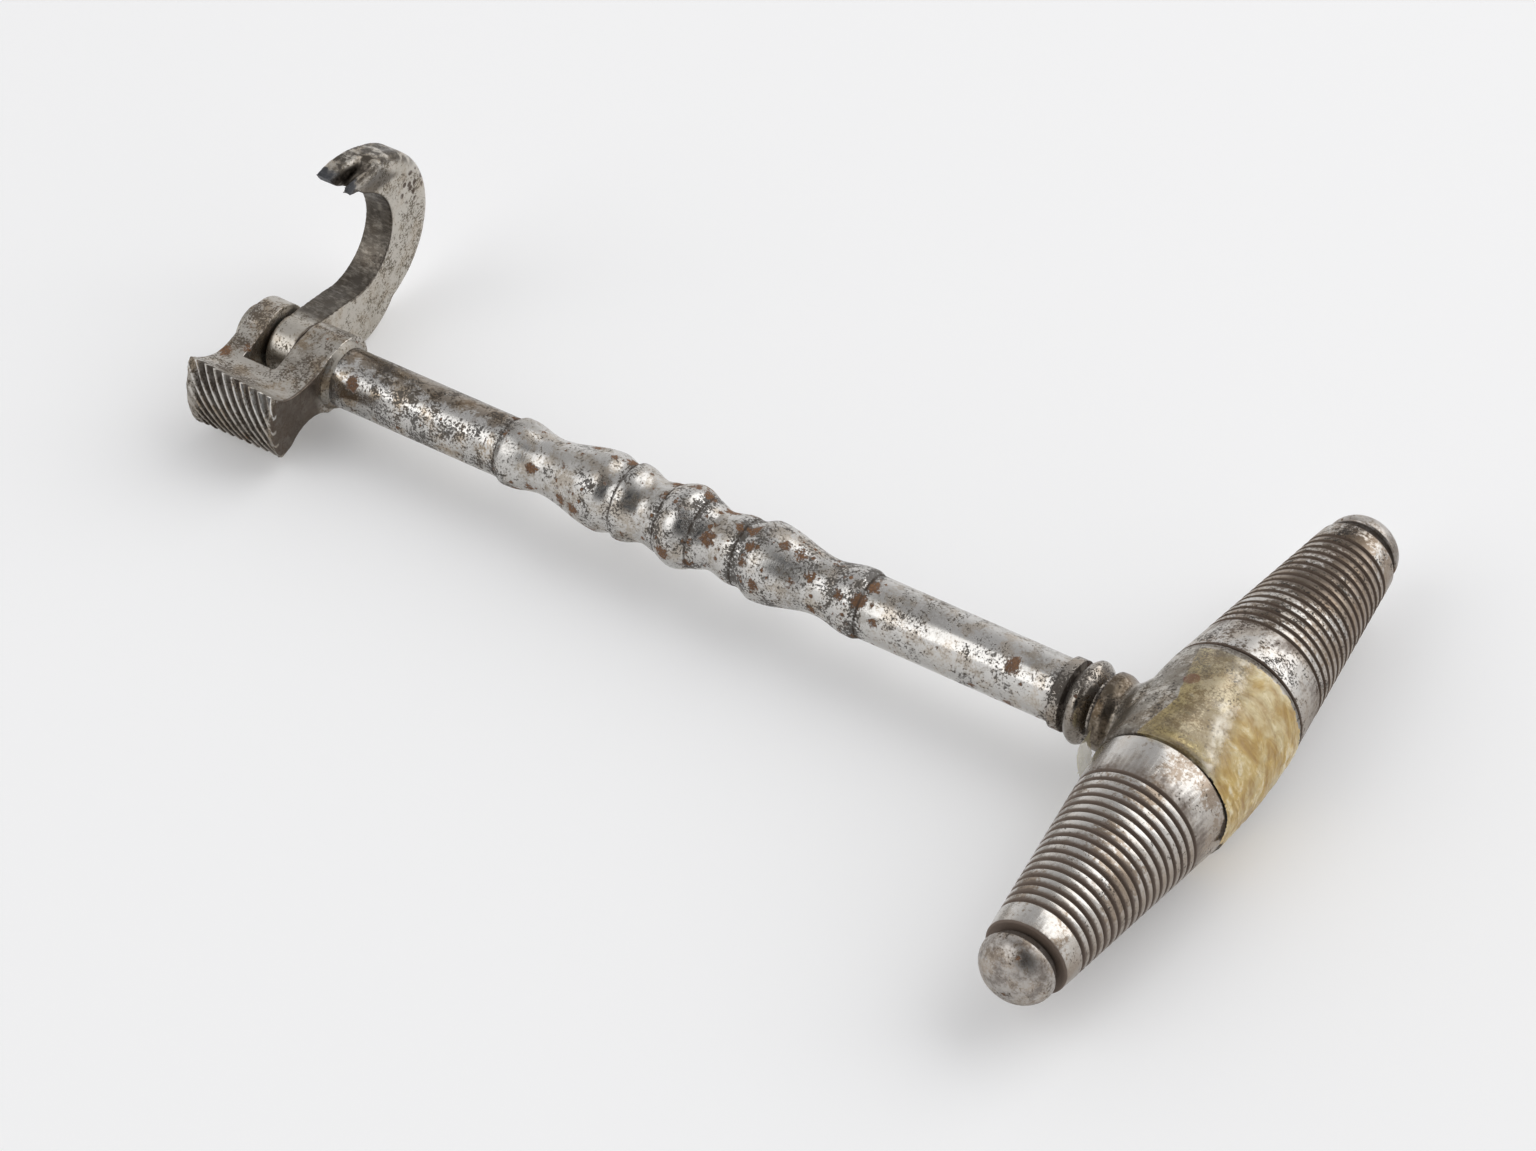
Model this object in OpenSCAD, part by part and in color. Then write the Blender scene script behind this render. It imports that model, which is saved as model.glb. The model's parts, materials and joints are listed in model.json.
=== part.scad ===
// Dental key: a turned steel stem with a T handle, and a forked head that carries a swinging claw.
// The stem lies along X with the head toward -X, the handle lies along Y, and +Z is up.
// The origin is under the middle of the key, on the plane that the hub rests on.

/* [Stem] */
// Distance from the handle's axis to the near face of the head
stem_length = 128.3; // [120:0.1:140]
// Diameter of the plain length next to the head
front_shank_diameter = 8.2; // [7.6:0.1:9]
// Diameter of the plain length next to the handle
rear_shank_diameter = 8.5; // [7.6:0.1:9.2]
// Distance from the handle's axis to the middle bead
bead_station = 73.9; // [68:0.1:78]
// Diameter of the middle bead
bead_diameter = 11.3; // [10:0.1:13]
// Diameter of the bellies of the two balusters
belly_diameter = 10.8; // [9.6:0.1:12]
// Diameter of the waists of the two balusters
waist_diameter = 7.7; // [6.4:0.1:8.4]
// Diameter of the foot rings where the balusters meet the plain lengths
foot_diameter = 9.25; // [8.8:0.05:10.5]
// Diameter of the collar bead at the handle
collar_diameter = 11; // [9.6:0.1:12]
// Diameter of the tenon inside the hub
rear_tenon_diameter = 6.6; // [6:0.1:7.4]
// Diameter of the tenon inside the head
front_tenon_diameter = 5.6; // [4.8:0.1:6.4]
// Depth of the tenon inside the head
front_tenon_depth = 2.2; // [1.6:0.1:2.4]

/* [Head] */
// Length of the head along the stem
head_length = 14.1; // [12.8:0.1:16]
// Thickness of the ear that takes the stem
near_ear = 5.7; // [5.4:0.1:6.4]
// Radius of the ear that takes the stem
near_ear_radius = 4.8; // [4.5:0.1:5.4]
// Radius of the ear under the screw's head
far_ear_radius = 5.4; // [4.8:0.1:5.8]
// Offset of the claw's pivot from the stem's axis, away from the bolster
pivot_offset = 0.9; // [0:0.1:1.4]
// Depth of the claw's slot behind the pivot
slot_depth = 7.9; // [6.4:0.1:8.4]
// Distance from the stem's axis to the crest of the bolster's face
bolster_reach = 15.1; // [14.4:0.1:18]
// Height of the bolster's toothed face
face_height = 10.6; // [9:0.1:12]
// Height of the face's middle above the stem's axis
face_middle = 0.7; // [0:0.1:1.2]
// Radius of the bolster's bowed face
face_radius = 10.5; // [9:0.1:14]
// Spacing of the teeth, measured across them
tooth_pitch = 1.2; // [1:0.05:1.6]
// Depth of the cuts between the teeth
tooth_depth = 0.6; // [0.3:0.05:0.8]
// Slant of the teeth from upright, in degrees
tooth_slant = 30; // [15:1:40]

/* [Claw] */
// Thickness of the claw
claw_thickness = 4.4; // [3.2:0.1:4.6]
// Radius of the claw's round root
claw_root_radius = 4.2; // [3.8:0.1:4.8]
// Radius of the hollow inside the hook
hook_radius = 7.65; // [7:0.05:8.2]
// Radius of the hook's outer top
hook_outer_radius = 12.8; // [12.2:0.1:13.6]
// Radius of the heel
heel_radius = 10.4; // [10:0.1:11.4]
// Width of the beak across its teeth
beak_width = 7.3; // [5:0.1:8]
// Width of the notch that forks the beak
beak_notch = 1.4; // [0.8:0.1:1.8]
// Depth of the notch that forks the beak
beak_notch_depth = 2.4; // [1.4:0.1:3]

/* [Claw screw] */
// Diameter of the pivot screw
screw_diameter = 4.4; // [3.6:0.1:4.8]
// Diameter of the screw's head
screw_head_diameter = 7.4; // [6.4:0.1:9.4]
// Thickness of the screw's head
screw_head_height = 1.2; // [1:0.1:2.6]
// Length of the screw inside the near ear
screw_hold = 2.8; // [2:0.1:3]
// Width of the driver slot
driver_slot = 1; // [0.6:0.1:1.4]
// Depth of the driver slot
driver_slot_depth = 0.6; // [0.3:0.1:0.8]

/* [Handle] */
// Diameter of the hub at its middle
hub_diameter = 19.5; // [18.4:0.1:21]
// Diameter of the hub at its ends
hub_end_diameter = 18.8; // [17.6:0.1:20]
// Length of the hub between the grips
hub_length = 18.2; // [16:0.1:21]
// Length of the hub's neck, from the barrel to the face that meets the stem
hub_neck_length = 2.8; // [2.2:0.1:4]
// Diameter of the flange at the end of the hub's neck
hub_flange_diameter = 10.4; // [9.4:0.1:11.4]
// Distance between the outer tips of the end caps
handle_length = 92; // [88:0.5:104]
// Diameter of a grip beside the hub
grip_large_diameter = 18.6; // [17:0.1:19.4]
// Diameter of a grip beside its end cap
grip_small_diameter = 11; // [10:0.1:12.6]
// Number of ring grooves in the near grip
near_groove_count = 17; // [8:1:18]
// Number of ring grooves in the far grip
far_groove_count = 16; // [8:1:18]
// Width of a ring groove
groove_width = 0.55; // [0.4:0.05:0.95]
// Depth of a ring groove
groove_depth = 0.4; // [0.2:0.05:0.6]
// Plain band between the hub and the first groove
grip_inner_band = 6.2; // [4:0.1:7]
// Plain band between the last groove and the end cap
grip_outer_band = 3.4; // [2:0.1:4.4]
// Length of an end cap's dome
dome_length = 4; // [3.4:0.1:6]
// Diameter of an end cap's dome
dome_diameter = 10; // [9.2:0.1:11.6]
// Width of the dark groove between a grip and its dome
cap_neck_length = 1; // [0.6:0.1:1.4]
// Diameter at the bottom of that groove
cap_neck_diameter = 8.8; // [7.6:0.1:9.2]
// Diameter of the rod through the handle
rod_diameter = 4; // [3.4:0.1:4.6]
// Diameter of the pin through hub and tenon
pin_diameter = 1.8; // [1.4:0.1:2.2]
// Thickness of the tape on the hub
tape_thickness = 0.25; // [0.15:0.05:0.4]

/* [Fits] */
// Radial clearance of the turning fits
running_clearance = 0.05; // [0.02:0.01:0.09]
// Gap between faces of pieces that move past each other
face_gap = 0.3; // [0.25:0.05:0.5]

/* [Hidden] */
$fn = 96;

steel = [0.72, 0.71, 0.68];
dark_steel = [0.42, 0.40, 0.37];
braze_brown = [0.62, 0.56, 0.42];
rust_red = [0.38, 0.24, 0.21];
tape_amber = [0.80, 0.70, 0.45];

// A cut goes this far past the surface it opens
over = 1;

// Frame: the key's length is centred on the origin and the hub touches the ground
hub_radius = hub_diameter / 2;
head_end = stem_length + head_length;
screw_end = head_end + face_gap + screw_head_height;
handle_x = (screw_end - hub_radius - tape_thickness) / 2;
axis_z = hub_radius;

// Stations along the stem, counted from the handle's axis toward the head
collar_groove = 0.8;
collar_bead_length = 3.4;
collar_ring_length = 1.9;
collar_ring_diameter = rear_shank_diameter + 1;
collar_root_diameter = 8;
neck_station = hub_radius + hub_neck_length;
collar_station = neck_station + collar_groove;
collar_ring_station = collar_station + collar_bead_length;
rear_shank_station = collar_ring_station + collar_ring_length;
tenon_past_rod = 4.6;

// Stations of the turned ornament, counted from the middle bead
bead_half = 2.5;
bead_step_diameter = 9.5;
front_reel_diameter = 8.7;
front_ring_diameter = belly_diameter - 0.3;
front_cove_diameter = belly_diameter - 1.2;
rear_reel_diameter = 8.1;
rear_ring_diameter = belly_diameter - 1.5;
rear_cove_diameter = belly_diameter - 1.7;
reel_at = 5;
ring_at = 8.3;
cove_at = 9.6;
belly_at = 12;
waist_at = 21;
foot_at = 25.9;
foot_end = 27.6;

// Slot in the head
slot_width = claw_thickness + 2 * face_gap;
slot_station = stem_length + near_ear;
far_ear_station = slot_station + slot_width;

// Hollows above and below the head's neck: distance behind the face's crest, height and radius
top_waist_behind = 7.9;
top_waist_rise = 3.3;
top_waist_radius = 9;
bottom_waist_behind = 7.6;
bottom_waist_drop = 2.6;
bottom_waist_radius = 5.8;

// Claw's outline: each point's distance from the pivot along the handle, and its height
hook_reach = 11.6;
hook_rise = 10;
hook_outer_reach = 14.9;
hook_outer_rise = 8.5;
heel_reach = 11.3;
heel_rise = 3.4;
arm_reach = 2.4;
arm_rise = 3.6;
beak_reach = 9.6;
beak_rise = 21.8;
notch_reach = 10.2;
notch_rise = 20.6;
flare_end = 12.4;

// Distances from the middle of the claw: of the beak toward its far side, and of the notch toward the stem
beak_shift = 0.15;
notch_shift = 1;

// Handle
hub_half = hub_length / 2;
grip_start = hub_half + face_gap;
cap_start = handle_length / 2 - dome_length - cap_neck_length;
grip_end = cap_start - face_gap;
rod_radius = rod_diameter / 2;
rod_half = cap_start + cap_neck_length + 0.4 * dome_length;
pin_station = rod_radius + running_clearance + face_gap + pin_diameter / 2 + 0.2;
pin_reach = 5;
pin_crown = 0.15;
tape_first_angle = -25;
tape_last_angle = 100;
tape_edge = 0.3;

// Smooth step between two radii, in a number of short cones
blend_steps = 8;
function eased(from, to, part) = from + (to - from) * (1 - cos(180 * part)) / 2;
function blend(r0, s0, r1, s1) =
    [for (i = [1 : blend_steps]) [eased(r0, r1, i / blend_steps), s0 + (s1 - s0) * i / blend_steps]];

// Rounded bead that stands out from a root radius between two stations
function bead(root, crest, s0, s1) =
    [for (i = [0 : 2 * blend_steps])
        [root + (crest - root) * sin(90 * i / blend_steps), s0 + (s1 - s0) * i / blend_steps / 2]];

// Points of an arc
function arc(centre, radius, from, to, steps) =
    [for (i = [0 : steps])
        centre + radius * [cos(from + (to - from) * i / steps), sin(from + (to - from) * i / steps)]];

// A list in the opposite order
function backward(points) = [for (i = [len(points) - 1 : -1 : 0]) points[i]];

// Points mirrored to the other side of the middle bead
function rear_side(points) = [for (p = backward(points)) [p[0], 2 * bead_station - p[1]]];

// Half of the turned ornament, from the crest of the middle bead to the end of the foot ring
function ornament(shank_radius, reel_diameter, ring_diameter, cove_diameter) = concat(
    [for (i = [0 : blend_steps])
        [bead_step_diameter / 2 + (bead_diameter - bead_step_diameter) / 2 * cos(90 * i / blend_steps),
         bead_station + bead_half * i / blend_steps]],
    blend(bead_step_diameter / 2, bead_station + bead_half, reel_diameter / 2, bead_station + reel_at),
    blend(reel_diameter / 2, bead_station + reel_at, ring_diameter / 2, bead_station + ring_at),
    [[ring_diameter / 2, bead_station + ring_at + 0.4]],
    [[cove_diameter / 2, bead_station + ring_at + 0.8], [cove_diameter / 2, bead_station + cove_at]],
    blend(cove_diameter / 2, bead_station + cove_at, belly_diameter / 2, bead_station + belly_at),
    blend(belly_diameter / 2, bead_station + belly_at, waist_diameter / 2, bead_station + waist_at),
    blend(waist_diameter / 2, bead_station + waist_at, foot_diameter / 2, bead_station + foot_at),
    [[foot_diameter / 2, bead_station + foot_at + 0.5]],
    blend(foot_diameter / 2, bead_station + foot_at + 0.5, shank_radius, bead_station + foot_end));

// Outline of the stem: radius and station
function stem_outline() = concat(
    [[0, -tenon_past_rod], [rear_tenon_diameter / 2, -tenon_past_rod]],
    [[rear_tenon_diameter / 2, neck_station], [collar_root_diameter / 2, neck_station]],
    bead(collar_root_diameter / 2, collar_diameter / 2, collar_station, collar_ring_station),
    [[collar_ring_diameter / 2, collar_ring_station + 0.3]],
    [[collar_ring_diameter / 2, rear_shank_station - 0.2], [rear_shank_diameter / 2, rear_shank_station]],
    rear_side(ornament(rear_shank_diameter / 2, rear_reel_diameter, rear_ring_diameter, rear_cove_diameter)),
    ornament(front_shank_diameter / 2, front_reel_diameter, front_ring_diameter, front_cove_diameter),
    [[front_shank_diameter / 2, stem_length], [front_tenon_diameter / 2, stem_length]],
    [[front_tenon_diameter / 2, stem_length + front_tenon_depth], [0, stem_length + front_tenon_depth]]);

// Outline of the hub's crowned barrel: radius and distance along the handle
function barrel_outline(extra, half) =
    [for (i = [-blend_steps : blend_steps])
        let (part = i / blend_steps)
        [hub_radius - (hub_diameter - hub_end_diameter) / 2 * pow(part * half / hub_half, 2) + extra,
         part * half]];

// Radius of a grip at a distance along the handle
function grip_radius(y) =
    (grip_large_diameter + (grip_small_diameter - grip_large_diameter)
        * (y - grip_start) / (grip_end - grip_start)) / 2;

// Outline of a grip with its ring grooves
function grip_outline(grooves) =
    let (first = grip_start + grip_inner_band,
         pitch = (grip_end - grip_outer_band - first) / (grooves - 1),
         bore = rod_radius + running_clearance)
    concat(
        [[bore, grip_start], [grip_radius(grip_start) - 0.2, grip_start]],
        [[grip_radius(grip_start + 0.2), grip_start + 0.2]],
        [for (i = [0 : grooves - 1])
            let (y = first + i * pitch)
            each [[grip_radius(y), y - groove_width / 2], [grip_radius(y) - groove_depth, y - groove_width / 5],
                  [grip_radius(y) - groove_depth, y + groove_width / 5], [grip_radius(y), y + groove_width / 2]]],
        [[grip_radius(grip_end - 0.2), grip_end - 0.2], [grip_radius(grip_end) - 0.2, grip_end]],
        [[bore, grip_end]]);

// Outline of an end cap with its blind bore
function cap_outline() =
    let (dome_start = cap_start + cap_neck_length,
         bore = rod_radius + running_clearance,
         bore_end = rod_half + face_gap)
    concat(
        [[bore, cap_start], [cap_neck_diameter / 2, cap_start], [cap_neck_diameter / 2, dome_start]],
        [[dome_diameter / 2 - 0.2, dome_start]],
        [for (i = [0 : 2 * blend_steps])
            let (a = 90 * i / blend_steps / 2)
            [dome_diameter / 2 * cos(a), dome_start + 0.2 + (dome_length - 0.2) * sin(a)]],
        [[0, bore_end], [bore, bore_end]]);

// Turns an outline of radius and station round the stem's axis
module on_stem(outline) {
    translate([handle_x, 0, axis_z])
        rotate([0, -90, 0])
            rotate_extrude()
                polygon(outline);
}

// Turns an outline round the handle's axis, toward the near side (-1) or the far side (1)
module on_handle(outline, side) {
    translate([handle_x, 0, axis_z])
        rotate([-90 * side, 0, 0])
            rotate_extrude()
                polygon(outline);
}

// Straight bar or bore along the stem, between two stations, with its axis moved sideways
module along_stem(diameter, from, to, offset = 0) {
    translate([handle_x - to, offset, axis_z])
        rotate([0, 90, 0])
            cylinder(d = diameter, h = to - from);
}

// Bar or bore along the handle, from its middle out to both sides
module along_handle(diameter, half) {
    translate([handle_x, 0, axis_z])
        rotate([90, 0, 0])
            cylinder(d = diameter, h = 2 * half, center = true);
}

// Upright bar or bore for the hub's pin, which goes in from below
module pin_bar(diameter, below) {
    translate([handle_x - pin_station, 0, axis_z - below])
        cylinder(d = diameter, h = below + pin_reach);
}

// A flat shape, drawn in the plane across the stem, thickened between two stations
module across_stem(from, to) {
    translate([handle_x - to, 0, axis_z])
        rotate([90, 0, 90])
            linear_extrude(to - from)
                children();
}

module stem() {
    color(steel)
        difference() {
            on_stem(stem_outline());
            along_handle(rod_diameter, hub_radius);
            pin_bar(pin_diameter, hub_radius);
        }
}

module hub() {
    neck_waist = hub_flange_diameter - 1.1;
    neck_outline = concat(
        [[0, 0], [hub_flange_diameter / 2 + 1.4, 0], [hub_flange_diameter / 2 + 1.4, hub_radius - 2.4]],
        blend(hub_flange_diameter / 2 + 1.4, hub_radius - 2.4, neck_waist / 2, hub_radius + 0.4),
        [[hub_flange_diameter / 2, neck_station - 1.3], [hub_flange_diameter / 2, neck_station]],
        [[0, neck_station]]);
    color(steel)
        difference() {
            union() {
                on_handle(concat([[0, -hub_half]], barrel_outline(0, hub_half), [[0, hub_half]]), 1);
                on_stem(neck_outline);
            }
            along_stem(rear_tenon_diameter, -tenon_past_rod, neck_station + over);
            along_handle(rod_diameter, hub_half + over);
            pin_bar(pin_diameter, hub_radius + over);
        }
}

module hub_pin() {
    color(rust_red)
        pin_bar(pin_diameter, sqrt(pow(hub_radius, 2) - pow(pin_station, 2)) + pin_crown);
}

module handle_rod() {
    color(dark_steel)
        along_handle(rod_diameter, rod_half);
}

module near_grip() {
    color(steel)
        on_handle(grip_outline(near_groove_count), -1);
}

module far_grip() {
    color(steel)
        on_handle(grip_outline(far_groove_count), 1);
}

module near_end_cap() {
    color(steel)
        on_handle(cap_outline(), -1);
}

module far_end_cap() {
    color(steel)
        on_handle(cap_outline(), 1);
}

// Tape over part of the barrel, from the top round to the side away from the stem
module hub_tape() {
    half = hub_half - tape_edge;
    reach = 2 * hub_diameter;
    color(tape_amber)
        intersection() {
            on_handle(concat(barrel_outline(tape_thickness, half), backward(barrel_outline(0, half))), 1);
            translate([handle_x, hub_length, axis_z])
                rotate([90, 0, 0])
                    linear_extrude(2 * hub_length)
                        polygon(concat([[0, 0]],
                            arc([0, 0], reach, tape_first_angle, tape_last_angle, blend_steps)));
        }
}

// Outline of the head across the stem: bolster and neck
module head_shape() {
    half_angle = asin(face_height / 2 / face_radius);
    face_centre = [face_radius - bolster_reach, face_middle];
    top_centre = [top_waist_behind - bolster_reach, top_waist_rise + top_waist_radius];
    bottom_centre = [bottom_waist_behind - bolster_reach, -bottom_waist_drop - bottom_waist_radius];
    polygon(concat(
        arc(face_centre, face_radius, 180 - half_angle, 180 + half_angle, 2 * blend_steps),
        arc(bottom_centre, bottom_waist_radius, 132, 46, blend_steps),
        [[pivot_offset, -near_ear_radius], [pivot_offset, near_ear_radius]],
        arc(top_centre, top_waist_radius, -62, -132, blend_steps)));
}

// One cut between two teeth: a ring that follows the bowed face at the teeth's slant
module tooth_cut(x) {
    ring_radius = face_radius / pow(cos(tooth_slant), 2);
    half_width = 0.36 * tooth_pitch;
    flare = half_width / tooth_depth;
    translate([x, ring_radius - bolster_reach, axis_z + face_middle])
        rotate([0, 90 - tooth_slant, 0])
            rotate_extrude($fn = 180)
                polygon([[ring_radius - tooth_depth, 0],
                         [ring_radius + over, flare * (tooth_depth + over)],
                         [ring_radius + over, -flare * (tooth_depth + over)]]);
}

module bolster_head() {
    tooth_step = tooth_pitch / cos(tooth_slant);
    tooth_count = floor((head_length + face_height * tan(tooth_slant)) / tooth_step);
    head_middle = handle_x - stem_length - head_length / 2;
    color(dark_steel)
        difference() {
            union() {
                across_stem(stem_length, head_end)
                    head_shape();
                along_stem(2 * near_ear_radius, stem_length, slot_station, pivot_offset);
                along_stem(2 * far_ear_radius, far_ear_station, head_end, pivot_offset);
            }
            across_stem(slot_station, far_ear_station)
                translate([pivot_offset - slot_depth, -hub_diameter])
                    square([3 * slot_depth, 2 * hub_diameter]);
            along_stem(front_tenon_diameter, stem_length - over, stem_length + front_tenon_depth);
            along_stem(screw_diameter + 2 * running_clearance, slot_station - screw_hold - face_gap,
                       head_end + over, pivot_offset);
            for (i = [0 : tooth_count - 1])
                tooth_cut(head_middle + (i - (tooth_count - 1) / 2) * tooth_step);
        }
}

// Bead of braze in the corner between stem and head
module braze_fillet() {
    width = 0.7;
    inner = front_shank_diameter / 2;
    color(braze_brown)
        on_stem([[inner, stem_length], [inner, stem_length - 1.2 * width],
                 [inner + 0.6 * width, stem_length - 0.8 * width], [inner + width, stem_length]]);
}

// Outline of the claw, drawn from its pivot
module claw_shape() {
    hook_centre = [hook_reach, hook_rise];
    outer_centre = [hook_outer_reach, hook_outer_rise];
    heel_centre = [heel_reach, heel_rise];
    heel_turn = 250;
    fill_inset = 0.1;
    arm_top = [arm_reach, arm_rise];
    beak_angle = 68;
    beak_tip = [beak_reach, beak_rise];
    far_off = 2 * beak_rise;
    circle(claw_root_radius);
    difference() {
        union() {
            translate(outer_centre)
                circle(hook_outer_radius, $fn = 160);
            translate(heel_centre)
                circle(heel_radius, $fn = 160);
            polygon([[0, 0], [0, fill_inset - claw_root_radius],
                     heel_centre + (heel_radius - fill_inset) * [cos(heel_turn), sin(heel_turn)], heel_centre]);
        }
        translate(hook_centre)
            circle(hook_radius, $fn = 160);
        polygon([arm_top, hook_centre - [0, hook_radius], hook_centre,
                 hook_centre + hook_radius * [cos(beak_angle), sin(beak_angle)], beak_tip,
                 [-far_off, far_off], [-far_off, arm_top[1]]]);
    }
}

// Thickness of the claw: even at the arm and the back, wider toward the beak
module claw_widths(x) {
    flare_tilt = 35;
    flare_start = far_ear_radius + face_gap;
    reach = 2 * hub_diameter;
    arm = claw_thickness / 2;
    far_beak = beak_width / 2 + beak_shift;
    near_beak = beak_width / 2 - beak_shift;
    translate([x, pivot_offset, axis_z])
        rotate([90 + flare_tilt, 0, 0])
            linear_extrude(2 * reach, center = true)
                polygon([[-arm, -reach], [arm, -reach], [arm, flare_start], [near_beak, flare_end],
                         [near_beak, reach], [-far_beak, reach], [-far_beak, flare_end], [-arm, flare_start]]);
}

module claw() {
    notch_centre = [notch_reach, notch_rise];
    notch_angle = 130;
    middle = slot_station + slot_width / 2;
    color(steel)
        difference() {
            intersection() {
                across_stem(middle - beak_width, middle + beak_width)
                    translate([pivot_offset, 0])
                        claw_shape();
                claw_widths(handle_x - middle);
            }
            along_stem(screw_diameter + 2 * running_clearance, slot_station - over, far_ear_station + over,
                       pivot_offset);
            translate([handle_x - middle + notch_shift, pivot_offset, axis_z])
                rotate([90, 0, 90])
                    translate(notch_centre)
                        rotate(notch_angle)
                            translate([-beak_notch_depth / 2, 0, 0])
                                cube([2 * beak_notch_depth, 2 * hook_radius, beak_notch], center = true);
        }
}

module claw_screw() {
    head_station = head_end + face_gap;
    slot_floor = screw_end - driver_slot_depth;
    color(steel)
        difference() {
            union() {
                along_stem(screw_diameter, slot_station - screw_hold, head_station + over, pivot_offset);
                along_stem(screw_head_diameter, head_station, screw_end, pivot_offset);
            }
            translate([handle_x - screw_end - over, pivot_offset - screw_head_diameter, axis_z - driver_slot / 2])
                cube([screw_end - slot_floor + over, 2 * screw_head_diameter, driver_slot]);
        }
}

stem();
bolster_head();
braze_fillet();
claw();
claw_screw();
hub();
hub_pin();
handle_rod();
near_grip();
far_grip();
near_end_cap();
far_end_cap();
hub_tape();
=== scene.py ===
# Dental key of turned steel: the finish of each piece, the old tape on its hub, and a plain studio.
import json
import math

import bmesh
import bpy
from mathutils import Matrix, Vector, noise

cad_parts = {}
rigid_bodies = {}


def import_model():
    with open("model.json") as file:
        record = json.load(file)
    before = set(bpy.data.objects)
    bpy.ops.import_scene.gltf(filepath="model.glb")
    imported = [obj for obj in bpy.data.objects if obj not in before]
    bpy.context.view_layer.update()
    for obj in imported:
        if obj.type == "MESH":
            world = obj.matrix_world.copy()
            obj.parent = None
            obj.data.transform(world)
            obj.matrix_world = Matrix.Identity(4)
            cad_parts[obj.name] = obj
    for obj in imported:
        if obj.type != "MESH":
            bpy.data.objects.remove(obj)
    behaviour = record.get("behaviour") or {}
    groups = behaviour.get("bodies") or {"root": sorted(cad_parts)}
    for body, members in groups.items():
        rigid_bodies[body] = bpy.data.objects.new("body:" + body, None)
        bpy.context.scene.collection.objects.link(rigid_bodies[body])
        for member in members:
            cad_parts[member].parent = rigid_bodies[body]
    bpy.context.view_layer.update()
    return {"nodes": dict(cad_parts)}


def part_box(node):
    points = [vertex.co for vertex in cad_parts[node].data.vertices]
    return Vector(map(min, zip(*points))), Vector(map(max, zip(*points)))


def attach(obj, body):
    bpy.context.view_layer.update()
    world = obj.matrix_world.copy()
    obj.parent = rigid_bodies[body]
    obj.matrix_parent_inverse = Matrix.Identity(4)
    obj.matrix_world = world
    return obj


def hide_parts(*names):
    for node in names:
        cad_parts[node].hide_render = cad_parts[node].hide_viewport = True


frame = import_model()


# Stem: one bar of steel, turned on a lathe into two plain lengths, two balusters and a bead.
# It was polished bright. Since then it has pitted black in patches and rusted in red-brown spots,
# and dirt has stayed in the lines that the turning tool cut.
MILLIMETRE = 0.001
MERGE = 1e-6
SMOOTH_BELOW = math.radians(40)
STEM_EDGE = 0.06
STEM_BRIGHT = (0.58, 0.565, 0.54, 1)
STEM_BLOOM = (0.42, 0.405, 0.38, 1)
PIT_BLACK = (0.05, 0.042, 0.035, 1)
RUST_DARK = (0.08, 0.038, 0.019, 1)
RUST_LIGHT = (0.24, 0.13, 0.068, 1)
DIRT_AND_SHADE_BROWN = (0.055, 0.041, 0.031, 1)
STAIN_BROWN = (0.7, 0.57, 0.42, 1)
RING_STATIONS = (12.95, 16.9, 18.6, 46.5, 64.8, 71.4, 76.4, 83.0, 101.4, 128.0)
RING_DIRT = 0.24
RING_PITS = 1.8
COLLAR_END = 19.0
RUSTY_FROM = 44.0
RUSTY_TO = 102.0
SPECKLED_FROM = 46.0
SPECKLED_TO = 66.0
BROWNED_FROM = 100.0
STAIN_AND_REFLECTION_SIDE = (0, 0.4, 0.92)
SOOT_AND_REFLECTION_BROWN = (0.42, 0.35, 0.28, 1)
rod_low, rod_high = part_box("handle_rod")
HANDLE_X = (rod_low.x + rod_high.x) / 2 / MILLIMETRE
HANDLE_Z = (rod_low.z + rod_high.z) / 2 / MILLIMETRE


def bench_copy(node, name):
    """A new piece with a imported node's form, its loose triangles merged into one skin."""
    piece = bpy.data.objects.new(name, frame["nodes"][node].data.copy())
    bpy.context.scene.collection.objects.link(piece)
    bpy.ops.object.select_all(action="DESELECT")
    piece.select_set(True)
    bpy.context.view_layer.objects.active = piece
    piece.data.materials.clear()
    bpy.ops.mesh.customdata_custom_splitnormals_clear()
    bpy.ops.object.mode_set(mode="EDIT")
    bpy.ops.mesh.select_all(action="SELECT")
    bpy.ops.mesh.remove_doubles(threshold=MERGE)
    bpy.ops.mesh.dissolve_limited(angle_limit=math.radians(0.5))
    bpy.ops.object.mode_set(mode="OBJECT")
    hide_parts(node)
    return piece


def shape(piece, kind, **settings):
    """Adds one modifier to a piece and applies it."""
    modifier = piece.modifiers.new(kind.lower(), kind)
    for name, value in settings.items():
        setattr(modifier, name, value)
    bpy.context.view_layer.objects.active = piece
    bpy.ops.object.modifier_apply(modifier=modifier.name)


def round_edges(piece, width, sharper_than=35):
    """Rounds the sharp edges of a piece by a width in millimetres."""
    angle = math.radians(sharper_than)
    shape(piece, "BEVEL", width=width * MILLIMETRE, segments=3, angle_limit=angle)
    shape(piece, "WELD", merge_threshold=MERGE)


def add_node(tree, kind, inputs=None, **settings):
    """Adds one shader node, sets it up, and fills its inputs with values or with links."""
    made = tree.nodes.new("ShaderNode" + kind)
    for name, value in settings.items():
        setattr(made, name, value)
    for name, value in (inputs or {}).items():
        if isinstance(value, bpy.types.NodeSocket):
            tree.links.new(value, made.inputs[name])
        else:
            made.inputs[name].default_value = value
    return made


def maths(tree, operation, first, second=0.0, third=0.0, clamp=False):
    """Works out one value from up to three."""
    inputs = {0: first, 1: second, 2: third}
    return add_node(tree, "Math", inputs, operation=operation, use_clamp=clamp).outputs[0]


def vectors(tree, operation, first, second=(0, 0, 0), result="Vector"):
    """Works out one vector, or one value, from two vectors."""
    return add_node(tree, "VectorMath", {0: first, 1: second}, operation=operation).outputs[result]


def parts_of(tree, vector):
    """The three parts of a vector."""
    return add_node(tree, "SeparateXYZ", {0: vector}).outputs


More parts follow.
